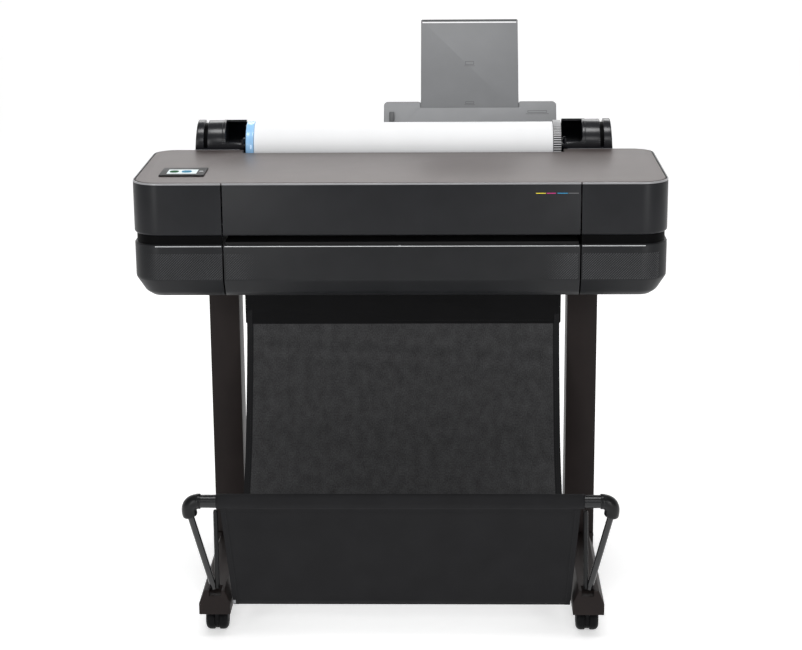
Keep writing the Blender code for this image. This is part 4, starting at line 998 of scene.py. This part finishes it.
# %% Tray, extension and marks
def make_tray():
    left, right = low("sheet_tray").x, high("sheet_tray").x
    ext_left, ext_right = low("tray_extension").x, high("tray_extension").x
    half, slim, play, base = 0.005, 0.0026, 0.0006, 0.004
    notched = rounded([(left, base, 0.001), (right, base, 0.001), (right, TRAY_HEIGHT, 0.009),
                       (ext_right + 0.003, TRAY_HEIGHT, 0.001), (ext_right + play, LIP_HEIGHT, 0.001),
                       (ext_left - play, LIP_HEIGHT, 0.001), (ext_left - 0.003, TRAY_HEIGHT, 0.001),
                       (left, TRAY_HEIGHT, 0.009)])
    whole = rounded([(left, base, 0.001), (right, base, 0.001), (right, TRAY_HEIGHT, 0.009),
                     (left, TRAY_HEIGHT, 0.009)])
    bm = bmesh.new()
    add_leaning(bm, notched, slim, half)
    add_leaning(bm, whole, -half, -slim)
    for start, end, inner in ((left, ext_left - play, 1), (right, ext_right + play, 0)):
        add_leaning(bm, rounded([(start, base, 0.001), (end, base, 0), (end, TRAY_HEIGHT, 0.001),
                                 (start, TRAY_HEIGHT, 0.009)]), -slim, slim)
    floor_z = base + 0.004
    add_leaning(bm, [(left + 0.002, base), (right - 0.002, base), (right - 0.002, floor_z),
                     (left + 0.002, floor_z)], -slim, slim)
    add_turned(bm, [(left, 0.005), (left + 0.001, 0.006), (right - 0.001, 0.006), (right, 0.005)], "X",
               TRAY_PIVOT, 32)
    return dress(finished("tray_moulding", bm, TRAY, 0.0006), "sheet_tray", "tray_grey", "sheet_tray")


def make_extension():
    left, right = low("tray_extension").x, high("tray_extension").x
    start, top = LIP_HEIGHT - 0.014, LIP_HEIGHT + 0.202
    half = 0.002
    outline = rounded([(left, start, 0.001), (right, start, 0.001), (right, top, 0.003), (left, top, 0.003)])
    leaning_piece("extension_moulding", outline, -half, half, EXTENSION, 0.0007, "tray_extension",
                  "tray_extension")
    # Two strips under the top edge are painted light: a dark one for the shade in the hollow under the rolled
    # edge, a pale one for the highlight on its bend.
    for name, low_up, high_up, material in (("extension_painted_shadow_strip", top - 0.0052, top - 0.0010, TRAY_DARK),
                                            ("extension_painted_highlight_strip", top - 0.0088, top - 0.0058, TRAY_PAINTED_HIGHLIGHT)):
        outline = rectangle((left + 0.003, right - 0.003), (low_up, high_up), 0.0006, 3)
        leaning_piece(name, outline, half - 0.0005, half + 0.0006, material, 0.0002, "tray_extension")


def make_page_mark(name, x, up, proud, body, width=0.018, height=0.007):
    """A plain drawing of a sheet over a bar: it shows where the paper goes."""
    bm = bmesh.new()
    line = 0.0007
    bars = [((x - width / 2, up), (x + width / 2, up + line)),
            ((x - width / 2, up + height), (x + width / 2, up + height + line)),
            ((x - width / 2, up), (x - width / 2 + line, up + height)),
            ((x + width / 2 - line, up), (x + width / 2, up + height)),
            ((x - width * 0.6, up - 0.003), (x + width * 0.6, up - 0.003 + line))]
    for (x0, u0), (x1, u1) in bars:
        add_leaning(bm, rectangle((x0, x1), (u0, u1)), proud - 0.0004, proud + 0.00015)
    return dress(finished(name, bm, TRAY_DARK), body, "tray_grey")


make_tray()
make_extension()
EXTENSION_MIDDLE = middle("tray_extension").x
make_page_mark("extension_mark_high", EXTENSION_MIDDLE, LIP_HEIGHT + 0.098, 0.002, "tray_extension")
make_page_mark("extension_mark_low", EXTENSION_MIDDLE, LIP_HEIGHT + 0.010, 0.002, "tray_extension",
               height=0.004)
make_page_mark("tray_mark", high("sheet_tray").x - 0.040, LIP_HEIGHT - 0.012, 0.005, "sheet_tray", 0.040,
               0.004)
softened("sheet_guide", "sheet_guide", "charcoal_cover", TRAY_DARK, 0.0012)
print("tray and extension made")

# %% [markdown]
# ## Stand, casters and the working parts inside
# Folded steel and simple mouldings already have the right shape. A copy of each solid gets its edges
# broken by a bevel, wider on the thick steel than on the small parts inside, and its own finish.

# %% Soften the plain solids
SIDES = ("left", "right")
ENDS = ("front", "rear")
for side in SIDES:
    softened("leg_" + side, "printer", "brown_steel", STAND, 0.0030)
    softened("foot_" + side, "printer", "brown_steel", STAND, 0.0011, 24)
    for end in ENDS:
        corner = f"{end}_{side}"
        softened("caster_swivel_" + corner, "caster_" + corner, "black_plastic", WHEEL, 0.0008)
    softened("chassis_plate_" + side, "printer", "plain_steel", STEEL, 0.0005)
softened("cross_rail", "printer", "brown_steel", STAND, 0.0015)
INSIDE = (
    ("rear_cover", "printer", "charcoal_cover", CHARCOAL, 0.0008),
    ("roll_trough", "printer", "black_plastic", INNER_BLACK, 0.0008),
    ("base_pan", "printer", "black_plastic", INNER_BLACK, 0.0008),
    ("platen", "printer", "black_plastic", INNER_BLACK, 0.0010),
    ("carriage_rail", "printer", "plain_steel", STEEL, 0.0005),
    ("carriage", "carriage", "charcoal_cover", CHARCOAL, 0.0020),
    ("service_station", "printer", "charcoal_cover", INNER_BLACK, 0.0015),
    ("power_supply", "printer", "plain_steel", STEEL, 0.0010),
    ("power_inlet", "printer", "black_plastic", INNER_BLACK, 0.0006),
    ("ink_bay", "printer", "charcoal_cover", INNER_BLACK, 0.0005),
    ("drive_belt", "printer", "rubber_black", RUBBER, 0.0003),
    ("carriage_motor", "printer", "plain_steel", STEEL, 0.0008))
for node_name, body, slot, material, edge in INSIDE:
    softened(node_name, body, slot, material, edge)
for colour, ink in INKS.items():
    softened("ink_cartridge_" + colour, "ink_" + colour, "ink_" + colour, ink, 0.0012)
print("softened", len(INSIDE) + len(INKS) + 13, "solids")


# %% [markdown]
# ## Screws
# The rear cover, the feet and the cross rail are held by round-headed screws. A short list of points
# says where, and Geometry Nodes puts the same small head on each.

# %% Screw heads
def screw_tree():
    tree, group_in, group_out = new_tree("screws", (
        ("Radius", "Float"), ("Proud", "Float"), ("Turn", "Vector"), ("Material", "Material")))
    get = group_in.outputs
    head = add_node(tree, "GeometryNodeMeshUVSphere", Segments=20, Rings=10, Radius=get["Radius"])
    across = add_node(tree, "ShaderNodeMath", {"operation": "DIVIDE"}, _0=get["Proud"], _1=get["Radius"])
    shape = add_node(tree, "ShaderNodeCombineXYZ", X=1.0, Y=1.0, Z=across.outputs[0])
    flat = add_node(tree, "GeometryNodeTransform", Geometry=head.outputs[0], Scale=shape.outputs[0])
    points = add_node(tree, "GeometryNodeMeshToPoints", Mesh=get["Geometry"])
    spread = add_node(tree, "GeometryNodeInstanceOnPoints", Points=points.outputs[0],
                      Instance=flat.outputs[0],
                      Rotation=get["Turn"])
    close_tree(tree, spread.outputs[0], group_in, group_out)
    return tree


SCREWS = screw_tree()


def make_screws(name, places, turn, radius=0.0032, proud=0.0012, slot="black_plastic"):
    base = bpy.data.meshes.new(name)
    base.from_pydata([tuple(place) for place in places], [], [])
    heads = grown(name, SCREWS, {"Radius": radius, "Proud": proud, "Turn": turn, "Material": SCREW}, base)
    heads.data.shade_smooth()
    return dress(heads, "printer", slot)


REAR_LOW, REAR_HIGH = low("rear_cover"), high("rear_cover")
REAR_ROWS = (REAR_LOW.z + 0.048, REAR_HIGH.z - 0.010)
make_screws("rear_cover_screws", [(x, REAR_HIGH.y, z) for z in REAR_ROWS for x in (-0.30, -0.10, 0.10, 0.30)],
            (math.radians(90), 0, 0))
for side, name in ((-1, "left"), (1, "right")):
    leg_low, leg_high = low("leg_" + name), high("leg_" + name)
    outer = side * max(abs(leg_low.x), abs(leg_high.x))
    bolt_y = (leg_low.y + 0.018, leg_high.y - 0.018)
    bolts = [(outer, y, leg_high.z - 0.024) for y in bolt_y] + [(outer, y, leg_low.z - 0.013) for y in bolt_y]
    make_screws("leg_bolts_" + name, bolts, (0, math.radians(90), 0), 0.0050, 0.0022, "brown_steel")


# %% Rollers and pulleys
def make_roller(node_name, body, slot, material, axis, step=0.0008):
    box_low, box_high = low(node_name), high(node_name)
    along = "XYZ".index(axis)
    up = (along + 2) % 3
    radius = (box_high[up] - box_low[up]) / 2
    start, end = box_low[along], box_high[along]
    profile = [(start, radius - step), (start + step, radius), (end - step, radius), (end, radius - step)]
    return turned(node_name + "_turned", profile, axis, middle(node_name), 40, material, body, slot,
                  node_name)


make_roller("feed_roller", "feed_roller", "plain_steel", STEEL, "X")
make_roller("pinch_roller", "pinch_roller", "rubber_black", RUBBER, "X")
make_roller("motor_pulley", "motor_pulley", "plain_steel", STEEL, "Z")
make_roller("idler_pulley", "idler_pulley", "plain_steel", STEEL, "Z")


# %% Caster wheels
def make_wheels(corner):
    name = "caster_wheels_" + corner
    box_low, box_high = low(name), high(name)
    centre = middle(name)
    radius = box_high.z - centre.z
    half = (box_high.x - box_low.x) / 2
    inner, curve = 0.0046, 0.0095
    rim = arc((half - curve, radius - curve), curve, 0, 90, 10)
    outer = [(half - 0.0012, 0.0), (half - 0.0012, 0.006), (half - 0.003, 0.0075), (half - 0.003, 0.010)]
    profile = outer[1:] + [(half - 0.0004, 0.0112)] + [tuple(p) for p in rim] + [(inner + 0.001, radius),
                                                                               (inner, radius - 0.001),
                                                                               (inner, 0.004)]
    whole = [(centre.x - d, r) for d, r in profile] + [(centre.x + d, r) for d, r in reversed(profile)]
    fin, core, reach = 0.0040, 0.0046, radius - 0.0025
    guard = [(centre.x - fin, core), (centre.x - fin, reach), (centre.x + fin, reach), (centre.x + fin, core)]
    turned("wheel_guard_" + corner, guard, "X", centre, 48, WHEEL, "caster_" + corner, "black_plastic",
           hollow=True)
    return turned("wheels_" + corner + "_turned", whole, "X", centre, 72, WHEEL, "wheels_" + corner,
                  "rubber_black",
                  name)


for side in SIDES:
    for end in ENDS:
        make_wheels(f"{end}_{side}")
print("four pairs of wheels made")

# %% [markdown]
# ## The bin's frame
# A bar across the front is held by two moulded elbows. Each elbow sleeves over the bar and over an arm
# that runs down to the foot, and a thinner strut stands beside the arm. The bend of the elbow is a
# Bezier curve, so it leaves both tubes in line with them.

# %% Bar, elbows, arms and struts
BIN_PIVOT = Vector(JOINTS["bin_hinge"]["pos_m"])
BAR_AXIS = middle("bin_bar")
BAR_R = (high("bin_bar").z - low("bin_bar").z) / 2
BAR_HALF = high("bin_bar").x
ELBOW_R = 0.0145
ARM_R = 0.0063
STRUT_R = 0.0045
ELBOW_CORNER_X = 0.4040
ARM_FOOT_X = 0.3615
ELBOW_REACH = 0.031


def make_bin_side(side_name, side):
    start = Vector((side * BAR_HALF, BAR_AXIS.y, BAR_AXIS.z))
    corner = Vector((side * ELBOW_CORNER_X, BAR_AXIS.y, BAR_AXIS.z))
    foot = Vector((side * ARM_FOOT_X, BIN_PIVOT.y, BIN_PIVOT.z))
    down = (foot - corner).normalized()
    end = corner + down * ELBOW_REACH
    steps = 18
    path = [start.lerp(corner, k / steps).lerp(corner.lerp(end, k / steps),
                                               k / steps) for k in range(steps + 1)]
    bm = bmesh.new()
    add_tube(bm, path, [ELBOW_R - 0.0010] + [ELBOW_R - 0.0002] * (steps - 1) + [ELBOW_R - 0.0010], 36)
    inward = (start - corner).normalized()
    collar = [start + inward * 0.0003, start - inward * 0.001, start - inward * 0.007, start - inward * 0.008]
    add_tube(bm, collar, [ELBOW_R - 0.0006, ELBOW_R, ELBOW_R, ELBOW_R - 0.0006], 36)
    collar = [end - down * 0.008, end - down * 0.007, end - down * 0.001, end + down * 0.0005]
    add_tube(bm, collar, [ELBOW_R - 0.0012, ELBOW_R - 0.0004, ELBOW_R - 0.0004, ELBOW_R - 0.0014], 36)
    dress(finished("elbow_" + side_name, bm, ELBOW, 0, 40), "bin_frame", "black_tube")

    bm = bmesh.new()
    add_tube(bm, [end - down * 0.004, end.lerp(foot, 0.5), foot], ARM_R, 28)
    dress(finished("arm_tube_" + side_name, bm, ARM, 0, 40), "bin_frame", "black_tube",
          "bin_arm_" + side_name)

    strut_top = Vector((side * 0.3495, BAR_AXIS.y + 0.006, BAR_AXIS.z - BAR_R - 0.008))
    strut_foot = Vector((side * 0.3545, BIN_PIVOT.y, BIN_PIVOT.z + 0.001))
    bm = bmesh.new()
    add_tube(bm, [strut_top, strut_top.lerp(strut_foot, 0.02), strut_foot],
             [STRUT_R - 0.001, STRUT_R, STRUT_R], 24)
    dress(finished("strut_" + side_name, bm, ELBOW, 0, 40), "bin_frame", "black_tube")


def make_bar():
    return turned("front_bar", [(-BAR_HALF, BAR_R), (BAR_HALF, BAR_R)], "X", BAR_AXIS, 48, TUBE, "bin_frame",
                  "black_tube", "bin_bar", sharp_deg=40)


make_bar()
make_bin_side("left", -1)
make_bin_side("right", 1)
print("bar, elbows, arms and struts made")

# %% [markdown]
# ## The catch bin's cloth
# One piece of cloth hangs from under the printer, slopes forward to the floor of the bin, turns up in
# front and wraps round the bar in a sewn sleeve. It is drawn as a line seen from the side, and every
# point of that line becomes a row across the cloth. Slow waves keep it from looking like sheet metal.
# The back is pressed felt, cloudy in tone, and the front is a smoother weave.

# %% The line of the cloth
CLOTH_BACK_HALF = 0.314
CLOTH_FOLD_HALF = 0.3255
CLOTH_FRONT_HALF = 0.3400
SLEEVE_HALF = 0.3465
SLEEVE_R = BAR_R + 0.0011
CLOTH_THICK = 0.0011
FOLD_POINT = Vector((FRONT_Y - 0.0690, 0.0636))


def smooth_line(points, step):
    """A curve through the points, with a new point every step."""
    line = []
    for i in range(len(points) - 1):
        p0, p1, p2, p3 = points[max(i - 1, 0)], points[i], points[i + 1], points[min(i + 2, len(points) - 1)]
        count = max(2, round((p2 - p1).length / step))
        for k in range(count):
            t = k / count
            line.append(0.5 * ((2 * p1) + (p2 - p0) * t + (2 * p0 - 5 * p1 + 4 * p2 - p3) * t * t
                               + (3 * p1 - p0 - 3 * p2 + p3) * t ** 3))
    return line + [points[-1]]


def cloth_line():
    """Points as (y, z), half width and kind, from under the printer to the end of the sleeve."""
    back = [Vector((FRONT_Y + y, z)) for y, z in ((0.222, low("base_pan").z - 0.0004), (0.221, 0.600),
                                                  (0.214, 0.530),
                                                 (0.182, 0.436), (0.120, 0.304), (0.046, 0.180),
                                                 (-0.018, 0.086),
                                                 (-0.052, 0.0655))]
    rows = []
    for p in smooth_line(back, 0.008):
        t = min(1, max(0, (0.35 - p.y) / 0.28))
        rows.append((p, CLOTH_BACK_HALF + (CLOTH_FOLD_HALF - CLOTH_BACK_HALF) * t * t, "back"))
    sleeve_start = math.radians(-100)
    centre = Vector((BAR_AXIS.y, BAR_AXIS.z))
    top = centre + SLEEVE_R * Vector((math.cos(sleeve_start), math.sin(sleeve_start)))
    low_y = FOLD_POINT.x
    front = [FOLD_POINT, Vector((low_y - 0.004, FOLD_POINT.y + 0.006)), FOLD_POINT.lerp(top, 0.35), top]
    for p in smooth_line(front, 0.008):
        t = min(1, max(0, (p.y - FOLD_POINT.y) / (top.y - FOLD_POINT.y)))
        rows.append((p, CLOTH_FOLD_HALF + (CLOTH_FRONT_HALF - CLOTH_FOLD_HALF) * t, "front"))
    for k in range(1, 33):
        angle = sleeve_start - math.radians(345) * k / 32
        rows.append((centre + SLEEVE_R * Vector((math.cos(angle), math.sin(angle))), SLEEVE_HALF, "sleeve"))
    return rows


CLOTH_ROWS = cloth_line()
print("the cloth has", len(CLOTH_ROWS), "rows")


# %% Weave the sheet
def slow_wave(across, along):
    """How far the cloth stands out of its plane, in metres: shallow folds that run down it."""
    fold = math.sin(9.0 * across + 1.3 * math.sin(3.1 * along)) * math.sin(5.2 * along + 0.7)
    fine = math.sin(31.0 * across + 4.0 * along) * math.sin(17.0 * along + 2.0 * across)
    creases = sum(deep * math.exp(-((along - place - 0.05 * across) / 0.008) ** 2)
                  for place, deep in ((0.150, 0.0038), (0.185, 0.0030), (0.300, 0.0018)))
    return 0.0013 * fold + 0.0004 * fine + creases * math.cos(4.0 * across)


def cloth_points():
    """Each row as (points, distance along the cloth, half width, kind), waves included."""
    run, rows = 0.0, []
    columns = 96
    for i, (spot, half, kind) in enumerate(CLOTH_ROWS):
        run += (spot - CLOTH_ROWS[i - 1][0]).length if i else 0
        before, after = CLOTH_ROWS[max(i - 1, 0)][0], CLOTH_ROWS[min(i + 1, len(CLOTH_ROWS) - 1)][0]
        ahead = (after - before).normalized()
        normal = Vector((-ahead.y, ahead.x))
        calm = {"back": min(1, i / 14), "front": 1.0, "sleeve": 0.0}[kind]
        if kind == "front":
            calm = max(0, min(1, (BAR_AXIS.z - 0.03 - spot.y) / 0.03, (spot.y - 0.066) / 0.03))
        if kind == "back":
            calm *= min(1, max(0, (spot.y - 0.068) / 0.05))
        points = []
        for c in range(columns + 1):
            x = half * (2 * c / columns - 1)
            lift = slow_wave(x, run) * calm
            points.append(Vector((x, spot.x + normal.x * lift, spot.y + normal.y * lift)))
        rows.append((points, run, half, kind))
    return rows


CLOTH = cloth_points()
BAND_END = 0.100            # the felt starts here, behind the plain band


def make_cloth():
    bm = bmesh.new()
    uv = bm.loops.layers.uv.new("cloth")
    rows = [[bm.verts.new(p) for p in points] for points, _, _, _ in CLOTH]
    for r, (row, other) in enumerate(zip(rows, rows[1:])):
        for c in range(len(row) - 1):
            face = bm.faces.new((row[c], row[c + 1], other[c + 1], other[c]))
            hem = min(c, len(row) - 2 - c) < 2
            if CLOTH[r][3] == "back" and not (hem and CLOTH[r][1] > BAND_END):
                face.material_index = 1 if CLOTH[r][1] > BAND_END else 2
            for loop, (cc, rr) in zip(face.loops, ((c, r), (c + 1, r), (c + 1, r + 1), (c, r + 1))):
                loop[uv].uv = (rows[rr][cc].co.x, CLOTH[rr][1])
    mesh = bpy.data.meshes.new("bin_cloth")
    bm.to_mesh(mesh)
    bm.free()
    mesh.materials.append(PLAIN_CLOTH)
    mesh.materials.append(FELT_CLOTH)
    mesh.materials.append(BAND_CLOTH)
    cloth = bpy.data.objects.new("bin_cloth", mesh)
    bpy.context.collection.objects.link(cloth)
    wall = cloth.modifiers.new("thickness", "SOLIDIFY")
    wall.thickness = CLOTH_THICK
    wall.offset = 0
    plain(cloth)
    cloth.data.shade_smooth()
    return cloth


BIN_CLOTH = make_cloth()

# %% [markdown]
# ## Hems and stitches
# The long edges are folded over and sewn, and a seam closes the sleeve under the bar. The hems are
# ribbons just proud of the cloth. The stitches follow a line at an even pitch, which is a job for
# Geometry Nodes: resample the line and put a short rounded bar on each point.


# %% Hem ribbons
def hem_path(side, share):
    """A line down the cloth, at a share of its half width."""
    spots = []
    for points, _, half, kind in CLOTH:
        if kind != "sleeve":
            wanted = side * share * half
            index = (wanted / half + 1) / 2 * (len(points) - 1)
            base = min(int(index), len(points) - 2)
            spots.append(points[base].lerp(points[base + 1], index - base))
    return spots


def make_hems():
    bm = bmesh.new()
    for side in (-1, 1):
        outer, inner = hem_path(side, 0.998), hem_path(side, 0.966)
        rings = []
        for i, (a, b) in enumerate(zip(outer, inner)):
            ahead = outer[min(i + 1, len(outer) - 1)] - outer[max(i - 1, 0)]
            normal = ahead.cross(b - a).normalized() * (CLOTH_THICK / 2 + 0.0005)
            rings.append([a + normal, b + normal, b - normal, a - normal])
        skin(bm, rings)
    return finished("bin_cloth_hems", bm, PLAIN_CLOTH, 0, 30)


def stitch_tree():
    tree, group_in, group_out = new_tree("stitches", (
        ("Pitch", "Float"), ("Thread", "Float"), ("Length", "Float"), ("Material", "Material")))
    get = group_in.outputs
    curve = add_node(tree, "GeometryNodeMeshToCurve", Mesh=get["Geometry"])
    even = add_node(tree, "GeometryNodeResampleCurve", {"mode": "LENGTH"}, Curve=curve.outputs[0],
                    Length=get["Pitch"])
    bar = add_node(tree, "GeometryNodeMeshCylinder", Vertices=6, Radius=get["Thread"], Depth=get["Length"])
    tangent = tree.nodes.new("GeometryNodeInputTangent")
    aim = add_node(tree, "FunctionNodeAlignRotationToVector", {"axis": "Z"}, Vector=tangent.outputs[0])
    spread = add_node(tree, "GeometryNodeInstanceOnPoints", Points=even.outputs[0], Instance=bar.outputs[0],
                  Rotation=aim.outputs[0])
    close_tree(tree, spread.outputs[0], group_in, group_out)
    return tree


def line_mesh(name, lines):
    mesh = bpy.data.meshes.new(name)
    points, edges = [], []
    for line in lines:
        edges += [(len(points) + i, len(points) + i + 1) for i in range(len(line) - 1)]
        points += line
    mesh.from_pydata(points, edges, [])
    return mesh


def sewn(name, lines):
    """A stitch every 5 mm along each line."""
    return grown(name, stitch_tree(), {"Pitch": 0.0050, "Thread": 0.00022, "Length": 0.0034,
                                       "Material": THREAD},
                 line_mesh(name, lines))


def make_stitches():
    lines = []
    lift = CLOTH_THICK / 2 + 0.0006
    for side in (-1, 1):
        path = hem_path(side, 0.972)
        for face in (-1, 1):
            raised = []
            for i, spot in enumerate(path):
                ahead = path[min(i + 1, len(path) - 1)] - path[max(i - 1, 0)]
                raised.append(spot + Vector((0, -ahead.z, ahead.y)).normalized() * lift * face)
            lines.append(raised)
    seam = [row for row in CLOTH if row[3] == "front"][-3][0]
    lines.append([p + Vector((0, -lift, 0)) for p in seam])
    return sewn("bin_cloth_stitches", lines)


HEMS = make_hems()
STITCHES = make_stitches()


# %% The plain band along the top of the back
BAND_LOW_Z = 0.5485
BAND_Y = (FRONT_Y + 0.2182, FRONT_Y + 0.2196)


def make_band():
    half, top, bottom = CLOTH_BACK_HALF + 0.0025, low("base_pan").z - 0.0006, BAND_LOW_Z
    outline = rounded([(-half, bottom, 0.003), (half, bottom, 0.003), (half, top, 0), (-half, top, 0)], 4)
    slab("bin_cloth_band", outline, "Y", *BAND_Y, BAND_CLOTH, 0.0004, "printer", "bin_cloth")
    seam_end = half - 0.004
    seam = [Vector((-seam_end + 2 * seam_end * k / 60, BAND_Y[0] - 0.0002,
                    bottom + 0.006)) for k in range(61)]
    return dress(sewn("band_stitches", [seam]), "printer", "bin_cloth")


make_band()


# %% A small clip at the corner of the cloth
def make_clip():
    x = -CLOTH_FOLD_HALF + 0.002
    outline = rectangle((x - 0.003, x + 0.003), (0.0650, 0.0725), 0.0008, 4)
    return slab("cloth_clip", outline, "Y", FRONT_Y - 0.0765, FRONT_Y - 0.0742, MARK, 0.0003, "bin_frame",
                "trim_grey")


make_clip()

# %% [markdown]
# ## Let the cloth bend where the bin folds
# The bar swings back about the feet. The cloth, its hems and its stitches keep their drawn places as plain
# meshes, and the solid cloth pieces are hidden.

# %% Bake the cloth in place
for piece in (BIN_CLOTH, HEMS, STITCHES):
    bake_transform(piece)
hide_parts("bin_front_cloth", "bin_back_cloth")


# %% [markdown]
# ## The floor
# One sheet of pale floor runs back and curves up into a wall.

# %% Floor with a curved back
def make_floor():
    line = [Vector((-40.0, 0)), Vector((3.0, 0))] + arc((3.0, 1.5), 1.5, -80, 0, 16) + [Vector((4.5, 6.0))]
    bm = bmesh.new()
    rows = [[bm.verts.new((x, p.x, p.y)) for x in (-40, 40)] for p in line]
    for row, other in zip(rows, rows[1:]):
        bm.faces.new((row[0], row[1], other[1], other[0]))
    mesh = bpy.data.meshes.new("studio_floor")
    bm.to_mesh(mesh)
    bm.free()
    mesh.materials.append(FLOOR)
    mesh.shade_smooth()
    floor = bpy.data.objects.new("studio_floor", mesh)
    bpy.context.collection.objects.link(floor)


make_floor()

# %% Update the scene
bpy.context.view_layer.update()
